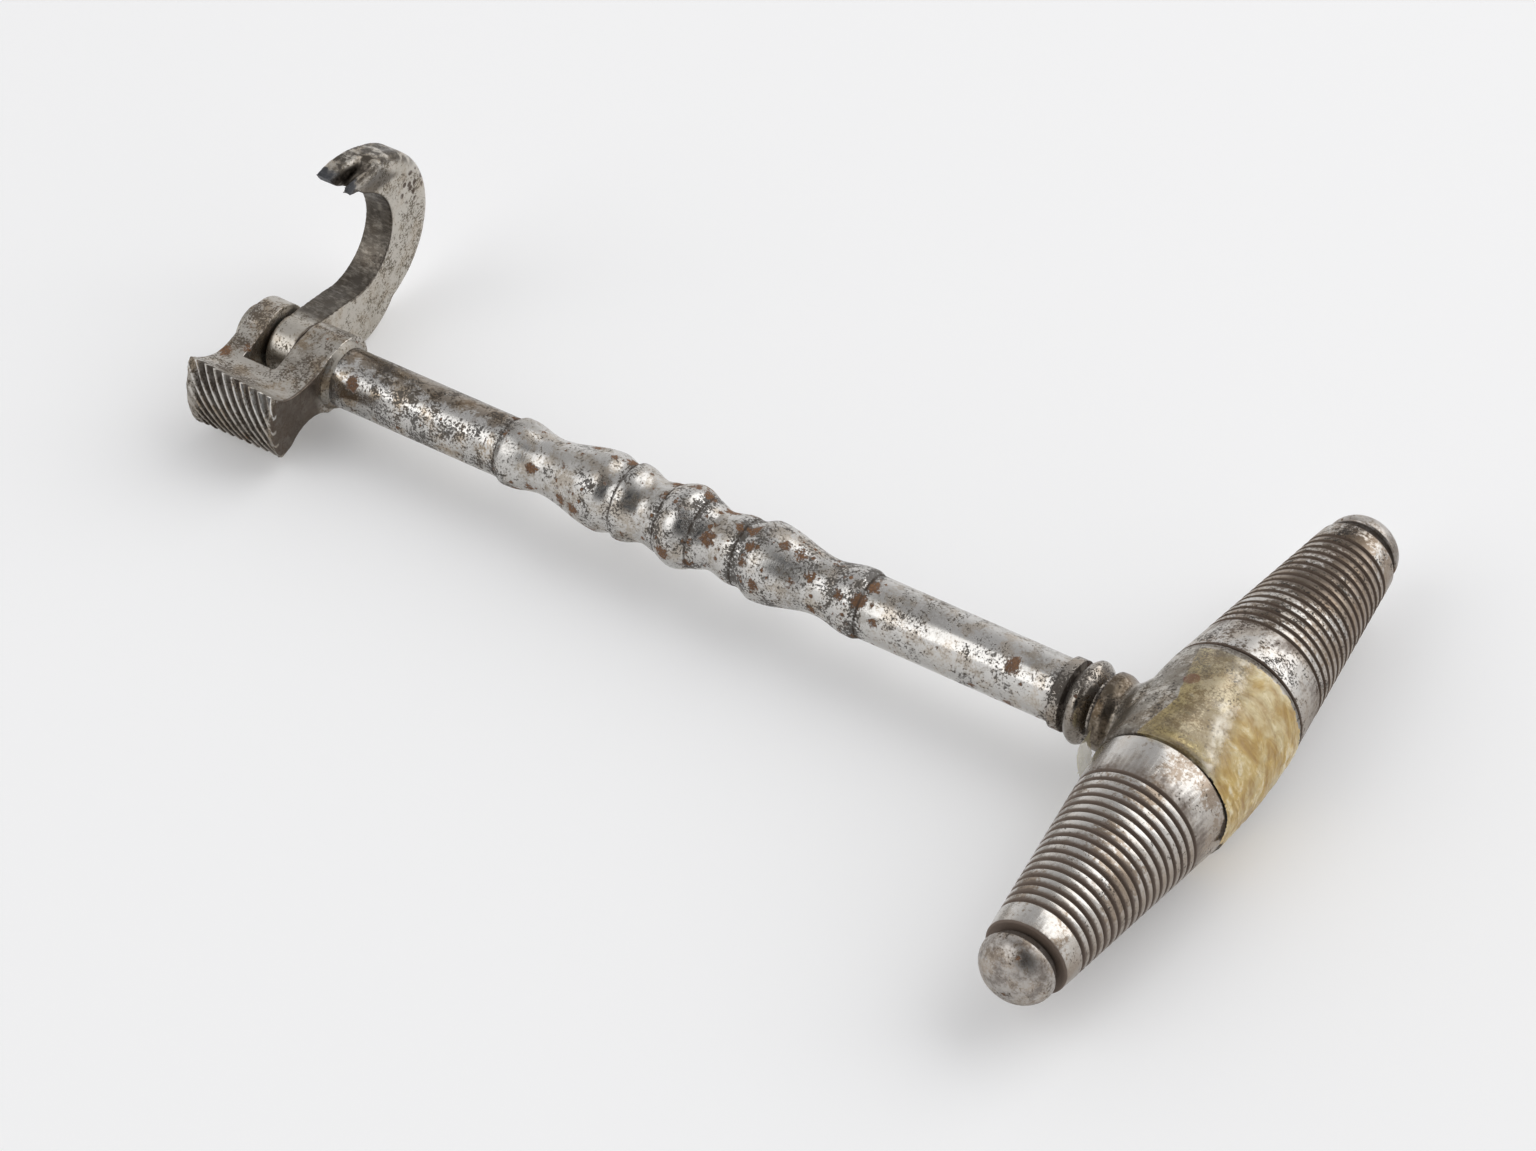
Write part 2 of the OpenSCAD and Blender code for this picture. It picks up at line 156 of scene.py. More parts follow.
def ramp(tree, value, low, high):
    """Goes smoothly from 0 to 1 as a value goes from low to high."""
    inputs = {"Value": value, "From Min": low, "From Max": high}
    return add_node(tree, "MapRange", inputs, interpolation_type="SMOOTHSTEP").outputs[0]


def tint(tree, share, first, second, blend="MIX"):
    """Goes from one colour to another."""
    inputs = {0: share, 6: first, 7: second}
    return add_node(tree, "Mix", inputs, data_type="RGBA", blend_type=blend).outputs[2]


def cloud(tree, point, scale, detail=4.0, roughness=0.6):
    """Soft noise, with a number of swells to the millimetre."""
    inputs = {"Vector": point, "Scale": scale, "Detail": detail, "Roughness": roughness}
    return add_node(tree, "TexNoise", inputs).outputs["Fac"]


def new_group(name, inputs, outputs):
    """An empty shader group with its sockets."""
    tree = bpy.data.node_groups.new(name, "ShaderNodeTree")
    for label, kind in inputs.items():
        tree.interface.new_socket(label, in_out="INPUT", socket_type="NodeSocket" + kind)
    for label, kind in outputs.items():
        tree.interface.new_socket(label, in_out="OUTPUT", socket_type="NodeSocket" + kind)
    return tree, tree.nodes.new("NodeGroupInput").outputs, tree.nodes.new("NodeGroupOutput").inputs


def make_ragged_spots():
    """Spots with ragged edges, at most one to a cell, in a share of the cells."""
    inputs = {"Point": "Vector", "Cell": "Float", "Share": "Float", "Reach": "Float"}
    tree, given, out = new_group("ragged_spots", inputs, {"Mask": "Float"})
    scale = maths(tree, "DIVIDE", 1.0, given["Cell"])
    place = add_node(tree, "VectorMath", {0: given["Point"], "Scale": scale}, operation="SCALE").outputs[0]
    ragged = add_node(tree, "TexNoise", {"Vector": place, "Scale": 3.5, "Detail": 6.0, "Roughness": 0.8})
    shift = vectors(tree, "SUBTRACT", ragged.outputs["Color"], (0.5, 0.5, 0.5))
    shift = vectors(tree, "MULTIPLY", shift, (1.1, 1.1, 1.1))
    cell = add_node(tree, "TexVoronoi", {"Vector": vectors(tree, "ADD", place, shift), "Scale": 1.0})
    chance = add_node(tree, "SeparateColor", {0: cell.outputs["Color"]}).outputs
    there = maths(tree, "LESS_THAN", chance[0], given["Share"])
    large = maths(tree, "MULTIPLY", chance[1], chance[1])
    reach = maths(tree, "MULTIPLY", maths(tree, "MULTIPLY_ADD", large, 0.7, 0.3), given["Reach"])
    inside = maths(tree, "SUBTRACT", reach, cell.outputs["Distance"])
    inside = maths(tree, "MULTIPLY", inside, 14.0, clamp=True)
    tree.links.new(maths(tree, "MULTIPLY", inside, there), out["Mask"])


def spotted(tree, **values):
    """Mask of ragged spots, from the group that draws them."""
    return add_node(tree, "Group", values, node_tree=bpy.data.node_groups["ragged_spots"]).outputs[0]


def make_aged_steel():
    """Old steel: bright metal, grey bloom, brown stain, pits in crowds, rust spots, and dark brown in
    hollows: dirt, with the painted shade that some finishes pass in as hollow.
    """
    inputs = {"Point": "Vector", "Bright": "Color", "Bloom": "Color", "Pit": "Color", "Polish": "Float"}
    for name in ("Bloom Level", "Pitting", "Rust Share", "Stain", "Hollow"):
        inputs[name] = "Float"
    outputs = {"Color": "Color", "Roughness": "Float", "Metallic": "Float", "Height": "Float"}
    tree, given, out = new_group("aged_steel", inputs, outputs)
    point = given["Point"]
    broad = cloud(tree, point, 0.16, 5.0, 0.62)
    middle = cloud(tree, point, 0.7, 5.0, 0.65)
    fine = cloud(tree, point, 3.2, 4.0, 0.72)
    patch = maths(tree, "MULTIPLY_ADD", broad, 0.45, maths(tree, "MULTIPLY", middle, 0.3))
    patch = maths(tree, "MULTIPLY_ADD", fine, 0.25, patch)
    bloom = ramp(tree, maths(tree, "ADD", patch, given["Bloom Level"]), 0.47, 0.56)
    crowd = maths(tree, "MULTIPLY_ADD", middle, 0.4, maths(tree, "MULTIPLY", cloud(tree, point, 0.23), 0.6))
    grain = maths(tree, "MULTIPLY_ADD", fine, 1.25, maths(tree, "MULTIPLY", crowd, 1.4))
    pits = ramp(tree, maths(tree, "ADD", grain, given["Pitting"]), 1.5, 1.57)
    spots = {"Point": point, "Cell": 2.5, "Share": given["Rust Share"], "Reach": 0.56}
    few = maths(tree, "MULTIPLY", given["Rust Share"], 0.4)
    freckles = {"Point": point, "Cell": 0.85, "Share": few, "Reach": 0.5}
    rust = maths(tree, "MAXIMUM", spotted(tree, **spots), spotted(tree, **freckles))
    rust = maths(tree, "MULTIPLY", rust, ramp(tree, fine, 0.33, 0.42))
    smear = maths(tree, "MULTIPLY", cloud(tree, point, 0.35, 5.0, 0.65), 0.65)
    smear = maths(tree, "MULTIPLY_ADD", fine, 0.35, smear)
    stain = maths(tree, "MULTIPLY", ramp(tree, smear, 0.47, 0.57), given["Stain"])
    colour = tint(tree, maths(tree, "MULTIPLY", bloom, 0.85), given["Bright"], given["Bloom"])
    colour = tint(tree, stain, colour, STAIN_BROWN, "MULTIPLY")
    colour = tint(tree, maths(tree, "MULTIPLY", pits, 0.85), colour, given["Pit"])
    colour = tint(tree, rust, colour, tint(tree, ramp(tree, fine, 0.35, 0.65), RUST_DARK, RUST_LIGHT))
    uneven = maths(tree, "MULTIPLY_ADD", middle, 0.7, 0.55)
    dirt = maths(tree, "MULTIPLY", given["Hollow"], uneven, clamp=True)
    tree.links.new(tint(tree, dirt, colour, DIRT_AND_SHADE_BROWN), out["Color"])
    covered = maths(tree, "MAXIMUM", rust, maths(tree, "MULTIPLY", dirt, 0.85))
    rough = maths(tree, "MULTIPLY_ADD", bloom, 0.06, given["Polish"])
    rough = maths(tree, "MULTIPLY_ADD", maths(tree, "SUBTRACT", fine, 0.5), 0.14, rough)
    rough = maths(tree, "MULTIPLY_ADD", pits, 0.3, rough)
    tree.links.new(maths(tree, "MULTIPLY_ADD", covered, 0.5, rough, clamp=True), out["Roughness"])
    dull = maths(tree, "MAXIMUM", covered, maths(tree, "MULTIPLY", pits, 0.6))
    tree.links.new(maths(tree, "SUBTRACT", 1.0, dull, clamp=True), out["Metallic"])
    height = maths(tree, "MULTIPLY_ADD", pits, -0.008, maths(tree, "MULTIPLY", middle, 0.005))
    height = maths(tree, "MULTIPLY_ADD", fine, 0.002, height)
    height = maths(tree, "MULTIPLY_ADD", maths(tree, "MULTIPLY", rust, fine), 0.05, height)
    tree.links.new(height, out["Height"])


def new_finish(name):
    """An empty material with its shader, and the place on the piece in millimetres."""
    finish = bpy.data.materials.new(name)
    finish.use_nodes = True
    tree = finish.node_tree
    place = add_node(tree, "TexCoord").outputs["Object"]
    point = add_node(tree, "VectorMath", {0: place, "Scale": 1 / MILLIMETRE}, operation="SCALE").outputs[0]
    return finish, tree, tree.nodes["Principled BSDF"], point


def steel(tree, shader, point, **values):
    """Puts the aged steel on a shader and gives back its colour and height, for what lies on top."""
    inputs = {"Point": point, "Pit": PIT_BLACK}
    inputs.update({name.replace("_", " ").title(): value for name, value in values.items()})
    aged = add_node(tree, "Group", inputs, node_tree=bpy.data.node_groups["aged_steel"])
    tree.links.new(aged.outputs["Roughness"], shader.inputs["Roughness"])
    tree.links.new(aged.outputs["Metallic"], shader.inputs["Metallic"])
    return aged.outputs["Color"], aged.outputs["Height"]


def lay_on(tree, shader, colour, height):
    """Joins a finished colour and a relief in millimetres to the shader."""
    tree.links.new(colour, shader.inputs["Base Color"])
    bump = add_node(tree, "Bump", {"Height": height, "Distance": MILLIMETRE, "Strength": 1.0})
    tree.links.new(bump.outputs[0], shader.inputs["Normal"])


def turned(tree, along, height):
    """Adds the fine rings that a turning tool leaves along an axis."""
    inputs = {"W": along, "Scale": 5.0, "Detail": 3.0}
    rings = add_node(tree, "TexNoise", inputs, noise_dimensions="1D").outputs["Fac"]
    return maths(tree, "MULTIPLY_ADD", rings, 0.006, height)


def from_rings(tree, along, places):
    """Distance to the nearest of a list of places along a turned piece, in millimetres."""
    nearest = 100.0
    for place in places:
        apart = maths(tree, "ABSOLUTE", maths(tree, "SUBTRACT", along, place))
        nearest = maths(tree, "MINIMUM", nearest, apart)
    return nearest


def between(tree, value, low, high, margin=2.0):
    """1 where a value lies between two others, going smoothly to 0 over a margin at both."""
    above = ramp(tree, value, low - margin, low + margin)
    return maths(tree, "MULTIPLY", above, ramp(tree, value, high + margin, high - margin))


def wear(piece, body, finish):
    """Gives a finished piece its material and its body."""
    piece.data.materials.append(finish)
    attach(piece, body)


make_ragged_spots()
make_aged_steel()
stem = bench_copy("stem", "turned_stem")
round_edges(stem, STEM_EDGE)
bpy.ops.object.shade_smooth_by_angle(angle=SMOOTH_BELOW)
finish, tree, shader, point = new_finish("stem_steel")
along = parts_of(tree, point)["X"]
station = maths(tree, "SUBTRACT", HANDLE_X, along)
from_ring = from_rings(tree, station, RING_STATIONS)
uneven = maths(tree, "MULTIPLY_ADD", cloud(tree, point, 0.45), 1.6, 0.2)
dirt = ramp(tree, maths(tree, "DIVIDE", from_ring, uneven), RING_DIRT, RING_DIRT * 0.3)
dirt = maths(tree, "MULTIPLY", dirt, 0.8)
rusty = between(tree, station, RUSTY_FROM, RUSTY_TO)
speckled = between(tree, station, SPECKLED_FROM, SPECKLED_TO)
collar = ramp(tree, station, COLLAR_END + 1, COLLAR_END - 1)
browned = ramp(tree, station, BROWNED_FROM - 2, BROWNED_FROM + 4)
pitting = maths(tree, "MULTIPLY_ADD", ramp(tree, from_ring, RING_PITS, 0.0), 0.14, 0.08)
pitting = maths(tree, "MULTIPLY_ADD", speckled, 0.1, pitting)
pitting = maths(tree, "MULTIPLY_ADD", browned, 0.06, pitting)
rust_share = maths(tree, "MULTIPLY_ADD", rusty, 0.45, 0.12)
rust_share = maths(tree, "MULTIPLY_ADD", speckled, 0.2, rust_share)
polish = maths(tree, "MULTIPLY_ADD", rusty, 0.08, 0.18)
stain = maths(tree, "MULTIPLY_ADD", browned, 0.35, 0.5)
colour, height = steel(
    tree, shader, point, bright=STEM_BRIGHT, bloom=STEM_BLOOM, polish=polish, bloom_level=0.0,
    pitting=pitting, rust_share=rust_share, hollow=dirt, stain=stain,
)
# Painted reflection: the upper side of the front shank is browned, a real stain with a painted dark
# reflection along it.
from_axis = vectors(tree, "SUBTRACT", point, (0, 0, HANDLE_Z))
upper_stain_and_reflection = vectors(tree, "DOT_PRODUCT", from_axis, STAIN_AND_REFLECTION_SIDE, "Value")
ragged = maths(tree, "SUBTRACT", cloud(tree, point, 0.6, 5.0, 0.7), 0.5)
upper_stain_and_reflection = maths(tree, "MULTIPLY_ADD", ragged, 5.0, upper_stain_and_reflection)
upper_stain_and_reflection = maths(tree, "MULTIPLY", ramp(tree, upper_stain_and_reflection, 3.0, 3.6), browned)
soot_and_reflection = maths(tree, "MAXIMUM", maths(tree, "MULTIPLY", collar, 0.6), maths(tree, "MULTIPLY", upper_stain_and_reflection, 0.85))
colour = tint(tree, soot_and_reflection, colour, SOOT_AND_REFLECTION_BROWN, "MULTIPLY")
lay_on(tree, shader, colour, turned(tree, along, height))
wear(stem, "shaft", finish)


# Head: a steel block, filed to shape, with teeth cut slantwise across its bowed face.
# Two ears stand up from it and hold the claw between them. Its end toward the stem is dark brown, brown
# patina with painted shade, brown dirt fills the cuts, and the crests between them are rubbed bright, with
# a painted highlight that is brighter toward the top.
HEAD_GRAIN = 0.14
HEAD_BRIGHT = (0.48, 0.45, 0.405, 1)
HEAD_BLOOM = (0.33, 0.3, 0.26, 1)
HEAD_SPECK = (0.09, 0.07, 0.052, 1)
HEAD_BROWN_AND_SHADE = (0.1, 0.076, 0.058, 1)
CREST_HIGHLIGHT = (0.6, 0.58, 0.55, 1)
CREST_BEIGE = (0.34, 0.3, 0.25, 1)
head_low, head_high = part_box("bolster_head")
HEAD_MIDDLE = (head_low.x + head_high.x) / 2 / MILLIMETRE
HEAD_END = head_high.x / MILLIMETRE
HEAD_FAR = head_low.x / MILLIMETRE
NEAR_EAR = 5.7
EAR_INNER = HEAD_END - NEAR_EAR
FACE_AXIS = (0, -4.6, 10.45)
FACE_RADIUS = 10.5
CUT_SPACING = 1.2
CUT_SLANT = math.radians(30)
CUT_HALF = 0.43
CUT_DEPTH = 0.6
FACE_FRONT = (-8.0, -9.0)
ENDS_WORN = 0.9
FAR_END_WORN = (1.9, 0.6)
NEAR_END_WORN = (1.3, 0.5)
LOW_WORN = 0.6
LOW_FROM = (7.0, 3.0)
TOP_EDGE_TILT = 0.085
TOP_EDGE_RISE = (12.0, 15.0)
TOP_EDGE_FRONT = (-7.0, -10.5)


def wave(piece, strength, length):
    """Unevenness of hand work: the skin sinks by a little here and there, in millimetres."""
    texture = bpy.data.textures.new(piece.name + "_wave", "CLOUDS")
    texture.noise_scale = length * MILLIMETRE
    shape(
        piece, "DISPLACE", texture=texture, texture_coords="LOCAL",
        strength=strength * MILLIMETRE, mid_level=1.0,
    )


def drop_specks(piece):
    """Deletes what is not joined to the top of a piece: specks that remaking its skin left inside."""
    bpy.ops.object.mode_set(mode="EDIT")
    bpy.ops.mesh.select_all(action="DESELECT")
    skin = bmesh.from_edit_mesh(piece.data)
    max(skin.verts, key=lambda corner: corner.co.z).select_set(True)
    bpy.ops.mesh.select_linked()
    bpy.ops.mesh.select_all(action="INVERT")
    bpy.ops.mesh.delete(type="VERT")
    bpy.ops.object.mode_set(mode="OBJECT")


def soften(piece, grain, passes):
    """Remakes a piece's skin in cells of a size in millimetres, with its edges and corners worn soft."""
    shape(piece, "REMESH", mode="VOXEL", voxel_size=grain * MILLIMETRE)
    drop_specks(piece)
    shape(piece, "SMOOTH", factor=0.5, iterations=passes)
    bpy.ops.object.shade_smooth()


def soil(piece):
    """Marks the hollow places of a piece, where old dirt stays, in an attribute that its finish reads."""
    bpy.ops.object.select_all(action="DESELECT")
    piece.select_set(True)
    bpy.context.view_layer.objects.active = piece
    bpy.ops.geometry.color_attribute_add(
        name="hollow", domain="CORNER", data_type="FLOAT_COLOR", color=(1, 1, 1, 1)
    )
    bpy.ops.paint.vertex_color_dirt(blur_strength=0.6, blur_iterations=1, normalize=False)


def hollow_of(tree):
    """How hollow the piece is here, from 0 to 1, as soil marked it."""
    mark = add_node(tree, "Attribute", attribute_name="hollow").outputs["Fac"]
    return ramp(tree, mark, 0.46, 0.3)


def from_line(tree, point, place):
    """Distance from a line that lies across the stem's length, along X, through a place."""
    flat = vectors(tree, "MULTIPLY", vectors(tree, "SUBTRACT", point, place), (0, 1, 1))
    return vectors(tree, "LENGTH", flat, result="Value")


def eased(value, low, high):
    """Goes smoothly from 0 to 1 as a value goes from low to high."""
    part = min(1.0, max(0.0, (value - low) / (high - low)))
    return part * part * (3 - 2 * part)


head = bench_copy("bolster_head", "filed_head")
soften(head, HEAD_GRAIN, 2)
for corner in head.data.vertices:
    x, y, z = corner.co / MILLIMETRE
    out = Vector((0, y - FACE_AXIS[1], z - FACE_AXIS[2]))
    on_face = eased(out.length, FACE_RADIUS - CUT_DEPTH - 0.6, FACE_RADIUS - CUT_DEPTH)
    on_face *= eased(y, *FACE_FRONT)
    across = (x - HEAD_MIDDLE) * math.cos(CUT_SLANT) + (z - FACE_AXIS[2]) * math.sin(CUT_SLANT)
    from_cut = abs(across / CUT_SPACING % 1 - 0.5) * CUT_SPACING
    worn = max(
        ENDS_WORN * eased(x, HEAD_FAR + FAR_END_WORN[0], HEAD_FAR + FAR_END_WORN[1]),
        ENDS_WORN * eased(x, HEAD_END - NEAR_END_WORN[0], HEAD_END - NEAR_END_WORN[1]),
        LOW_WORN * eased(z, *LOW_FROM) * eased(x, HEAD_MIDDLE, HEAD_FAR + 2.0),
    )
    filled = max(0.0, 1 - from_cut / CUT_HALF) * CUT_DEPTH * worn * on_face
    tilted = -TOP_EDGE_TILT * (x - HEAD_MIDDLE) * eased(z, *TOP_EDGE_RISE) * eased(y, *TOP_EDGE_FRONT)
    corner.co += (out.normalized() * filled + Vector((0, 0, tilted))) * MILLIMETRE
wave(head, 0.05, 2.5)
soil(head)
finish, tree, shader, point = new_finish("head_steel")
parts = parts_of(tree, point)
mottle = cloud(tree, point, 0.9, 5.0, 0.65)
slant = maths(tree, "MULTIPLY", maths(tree, "SUBTRACT", parts["X"], HEAD_MIDDLE), math.cos(CUT_SLANT))
slant = maths(
    tree, "MULTIPLY_ADD", maths(tree, "SUBTRACT", parts["Z"], FACE_AXIS[2]), math.sin(CUT_SLANT), slant
)
turn_of_cut = maths(tree, "FRACT", maths(tree, "DIVIDE", slant, CUT_SPACING))
from_cut = maths(tree, "ABSOLUTE", maths(tree, "SUBTRACT", turn_of_cut, 0.5))
from_cut = maths(tree, "MULTIPLY", from_cut, CUT_SPACING)
face = maths(
    tree, "MULTIPLY", ramp(tree, from_line(tree, point, FACE_AXIS), FACE_RADIUS - 0.9, FACE_RADIUS - 0.7),
    ramp(tree, parts["Y"], -8.6, -9.4),
)
whole = between(tree, parts["X"], HEAD_FAR + 1.4, HEAD_END - 1.0, 0.6)
cut = maths(tree, "MULTIPLY", face, ramp(tree, from_cut, 0.44, 0.3))
cut = maths(tree, "MULTIPLY", cut, maths(tree, "MULTIPLY_ADD", whole, 0.75, 0.25))
# Painted highlight: the crests between the cuts are lightened, rubbed wear with a painted highlight that is
# brighter toward the top.
rubbed_crest_highlight = maths(tree, "MULTIPLY", face, ramp(tree, from_cut, 0.44, 0.52))
rubbed_crest_highlight = maths(tree, "MULTIPLY", rubbed_crest_highlight, ramp(tree, mottle, 0.4, 0.5))
crest_highlight_tone = tint(tree, ramp(tree, parts["Z"], 8.5, 12.5), CREST_BEIGE, CREST_HIGHLIGHT)
# Painted shade: the end face toward the stem is darkened, brown patina with painted shade where it turns
# from the lamps.
end_brown_and_shade = ramp(tree, parts["X"], HEAD_END - 0.5, HEAD_END - 0.2)
end_brown_and_shade = maths(tree, "MULTIPLY", end_brown_and_shade, ramp(tree, parts["Y"], -4.0, -6.0))
dirt = maths(tree, "MAXIMUM", hollow_of(tree), cut)
# Painted shadow: a dark line along the near ear's inner edge, where the gap to the claw lies in shade.
ear_rim_shadow = between(tree, parts["X"], EAR_INNER - 0.2, EAR_INNER + 0.2, 0.12)
ear_rim_shadow = maths(tree, "MULTIPLY", ear_rim_shadow, ramp(tree, parts["Y"], -6.0, -4.0))
dirt = maths(tree, "MAXIMUM", dirt, ear_rim_shadow)
colour, height = steel(
    tree, shader, point, bright=HEAD_BRIGHT, bloom=HEAD_BLOOM, pit=HEAD_SPECK, polish=0.36,
    bloom_level=0.0, stain=0.75, pitting=0.13, rust_share=0.06, hollow=dirt,
)
brown = maths(tree, "MULTIPLY", end_brown_and_shade, maths(tree, "MULTIPLY_ADD", mottle, -0.5, 1.15), clamp=True)
colour = tint(tree, brown, colour, HEAD_BROWN_AND_SHADE)
colour = tint(tree, rubbed_crest_highlight, colour, crest_highlight_tone)
lay_on(tree, shader, colour, height)
wear(head, "shaft", finish)


# Braze: a thin bead of hard solder, run round the corner where the stem enters the head.
# It has dulled to a brownish grey.
BRAZE_BRIGHT = (0.36, 0.335, 0.295, 1)
BRAZE_BLOOM = (0.24, 0.215, 0.18, 1)
finish, tree, shader, point = new_finish("braze")
colour, height = steel(
    tree, shader, point, bright=BRAZE_BRIGHT, bloom=BRAZE_BLOOM, polish=0.42, bloom_level=0.0,
    stain=0.8, pitting=0.05, rust_share=0.1, hollow=0.1,
)
lay_on(tree, shader, colour, height)
braze = frame["nodes"]["braze_fillet"]
braze.data.materials.clear()
braze.data.materials.append(finish)


# Claw: a forged hook, thick at the heel, that turns on the screw in the head. Its beak is forked, with
# blunt prongs of two lengths and a bent notch. Its flanks are satin and speckled, with a few deep pits.
# Its hollow side and beak are dark, and the edge of its back toward the stem is worn round.
CLAW_GRAIN = 0.15
CLAW_EDGE = 0.12
CLAW_BRIGHT = (0.54, 0.505, 0.45, 1)
CLAW_BLOOM = (0.45, 0.415, 0.36, 1)
CLAW_SPECK = (0.15, 0.125, 0.09, 1)
PIT_BROWN = (0.07, 0.045, 0.03, 1)
CLAW_DARK = (0.055, 0.044, 0.034, 1)
CLAW_BLUE = (0.085, 0.09, 0.1, 1)
CLAW_SCRATCH = (0.25, 0.225, 0.19, 1)
HOOK_AXIS = (0, 12.5, 19.75)
HOOK_RADIUS = 7.65
BACK_ARCS = ((15.8, 18.25, 12.8), (12.2, 13.15, 10.4))
BACK_ROUND = 1.3
ROOT_ARC = (0.9, 9.75, 4.2)
ROOT_ROUND = 0.5
BEAK_TIP = (11.71, 30.38)
TIP_WORN = 0.55
TIP_KEPT = 0.1
ARM_HEEL = (3.3, 13.35)
ARM_FALL = -0.136
BEAK_EDGE = (15.37, 26.84)
BEAK_OUT = (-0.695, -0.719)
BEAK_ALONG = (-0.948, -0.32)
NOTCH_X = -68.55
NOTCH_BEND = 0.8
BEND_DEPTH = (-3.5, -0.2)
BEND_ACROSS = (-73.0, -69.5)
BEAK_RISE = (25.2, 28.0)
BEAK_DEEPEST = -5
TROUGH_DEPTH = 0.8
TROUGH_HALF = (1.4, 0.4)
TROUGH_FROM = (-4.2, -1.8)
TROUGH_SLOPE = -1.2
TROUGH_OUT = (11.2, 12.4)
FAR_PRONG_LONGER = 0.45
NEAR_PRONG_LONGER = 0.85
PRONG_FROM = (-2.5, -0.2)
PRONG_OUT = (9.5, 11.5)
PITTED = (-66.5, 24.9, 22.2)
NEAR_FLANK = (-68.3, -67.9)
GAP_SHADOW_ACROSS = (-67.95, -67.65)
GAP_SHADOW_OUT = (4.7, 4.3)
claw_low, claw_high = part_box("claw")
CLAW_MIDDLE = -69.55


def round_where(piece, width, chosen):
    """Rounds by a width in millimetres the edges of a piece whose two ends and angle pass a test."""
    bpy.ops.object.mode_set(mode="EDIT")
    bpy.ops.mesh.select_all(action="DESELECT")
    skin = bmesh.from_edit_mesh(piece.data)
    for edge in skin.edges:
        ends = [end.co / MILLIMETRE for end in edge.verts]
        edge.select_set(edge.calc_face_angle(0) > math.radians(30) and chosen(*ends))
    bpy.ops.mesh.bevel(offset=width * MILLIMETRE, segments=4, affect="EDGES")
    bpy.ops.object.mode_set(mode="OBJECT")


def on_arc(end, arc):
    """Whether a point lies on an arc across the claw."""
    return abs(math.hypot(end.y - arc[0], end.z - arc[1]) - arc[2]) < 0.03


def on_back(first, second):
    """Whether an edge lies along the claw's back, on the side toward the stem."""
    toward_stem = min(first.x, second.x) > CLAW_MIDDLE
    return toward_stem and any(on_arc(first, arc) and on_arc(second, arc) for arc in BACK_ARCS)


def on_root(first, second):
    """Whether an edge lies along the claw's round root."""
    return on_arc(first, ROOT_ARC) and on_arc(second, ROOT_ARC)


claw = bench_copy("claw", "forged_claw")
round_where(claw, BACK_ROUND, on_back)
round_where(claw, ROOT_ROUND, on_root)
round_edges(claw, CLAW_EDGE)
soften(claw, CLAW_GRAIN, 3)
for corner in claw.data.vertices:
    x, y, z = corner.co / MILLIMETRE
    depth = (y - BEAK_EDGE[0]) * BEAK_OUT[0] + (z - BEAK_EDGE[1]) * BEAK_OUT[1]
    if z > BEAK_RISE[0] and depth > BEAK_DEEPEST:
        out = Vector((0, y - BACK_ARCS[0][0], z - BACK_ARCS[0][1]))
        near_side = eased(x, NOTCH_X - 0.3, NOTCH_X + 0.3)
        longer = FAR_PRONG_LONGER + (NEAR_PRONG_LONGER - FAR_PRONG_LONGER) * near_side
        longer *= eased(depth, *PRONG_FROM) * eased(out.length, *PRONG_OUT)
        past_tip = (y - BEAK_TIP[0]) * BEAK_ALONG[0] + (z - BEAK_TIP[1]) * BEAK_ALONG[1]
        shorter = max(0.0, past_tip + TIP_WORN) * (1 - TIP_KEPT)
        moved = Vector((0, *BEAK_ALONG)) * (longer - shorter)
        trough = TROUGH_DEPTH * eased(abs(x - NOTCH_X), *TROUGH_HALF) * eased(depth, *TROUGH_FROM)
        sunk = min(trough, max(0.0, TROUGH_SLOPE * depth))
        moved -= out.normalized() * sunk * eased(out.length, *TROUGH_OUT)
        moved.x -= NOTCH_BEND * eased(depth, *BEND_DEPTH) * eased(x, *BEND_ACROSS) * eased(z, *BEAK_RISE)
        corner.co += moved * MILLIMETRE
shape(claw, "SMOOTH", factor=0.5, iterations=2)
wave(claw, 0.07, 3.0)
soil(claw)
finish, tree, shader, point = new_finish("claw_steel")
parts = parts_of(tree, point)
mottle = cloud(tree, point, 0.8, 5.0, 0.68)
scratches = cloud(tree, vectors(tree, "MULTIPLY", point, (0.7, 1.8, 1.8)), 1.0, 6.0, 0.78)
scratches = maths(tree, "MULTIPLY_ADD", scratches, 0.6, maths(tree, "MULTIPLY", mottle, 0.4))
hollow_side = ramp(tree, from_line(tree, point, HOOK_AXIS), HOOK_RADIUS + 0.3, HOOK_RADIUS + 0.1)
from_heel = maths(tree, "SUBTRACT", parts["Y"], ARM_HEEL[0])
arm_line = maths(tree, "MULTIPLY_ADD", from_heel, ARM_FALL, ARM_HEEL[1])
arm_top = ramp(tree, maths(tree, "SUBTRACT", parts["Z"], arm_line), -0.2, -0.05)
arm_top = maths(tree, "MULTIPLY", arm_top, ramp(tree, parts["Y"], HOOK_AXIS[1] + 0.2, HOOK_AXIS[1] - 0.2))
arm_top = maths(tree, "MULTIPLY", arm_top, ramp(tree, parts["Y"], 2.5, 5.0))
inner = maths(tree, "MAXIMUM", hollow_side, arm_top)
beak_depth = maths(tree, "MULTIPLY", maths(tree, "SUBTRACT", parts["Y"], BEAK_EDGE[0]), BEAK_OUT[0])
beak_depth = maths(
    tree, "MULTIPLY_ADD", maths(tree, "SUBTRACT", parts["Z"], BEAK_EDGE[1]), BEAK_OUT[1], beak_depth
)
above = ramp(tree, parts["Z"], 25.5, 26.5)
beak = maths(tree, "MULTIPLY", ramp(tree, beak_depth, -0.35, -0.15), above)
bent = maths(tree, "MULTIPLY", ramp(tree, beak_depth, *BEND_DEPTH), ramp(tree, parts["Z"], *BEAK_RISE))
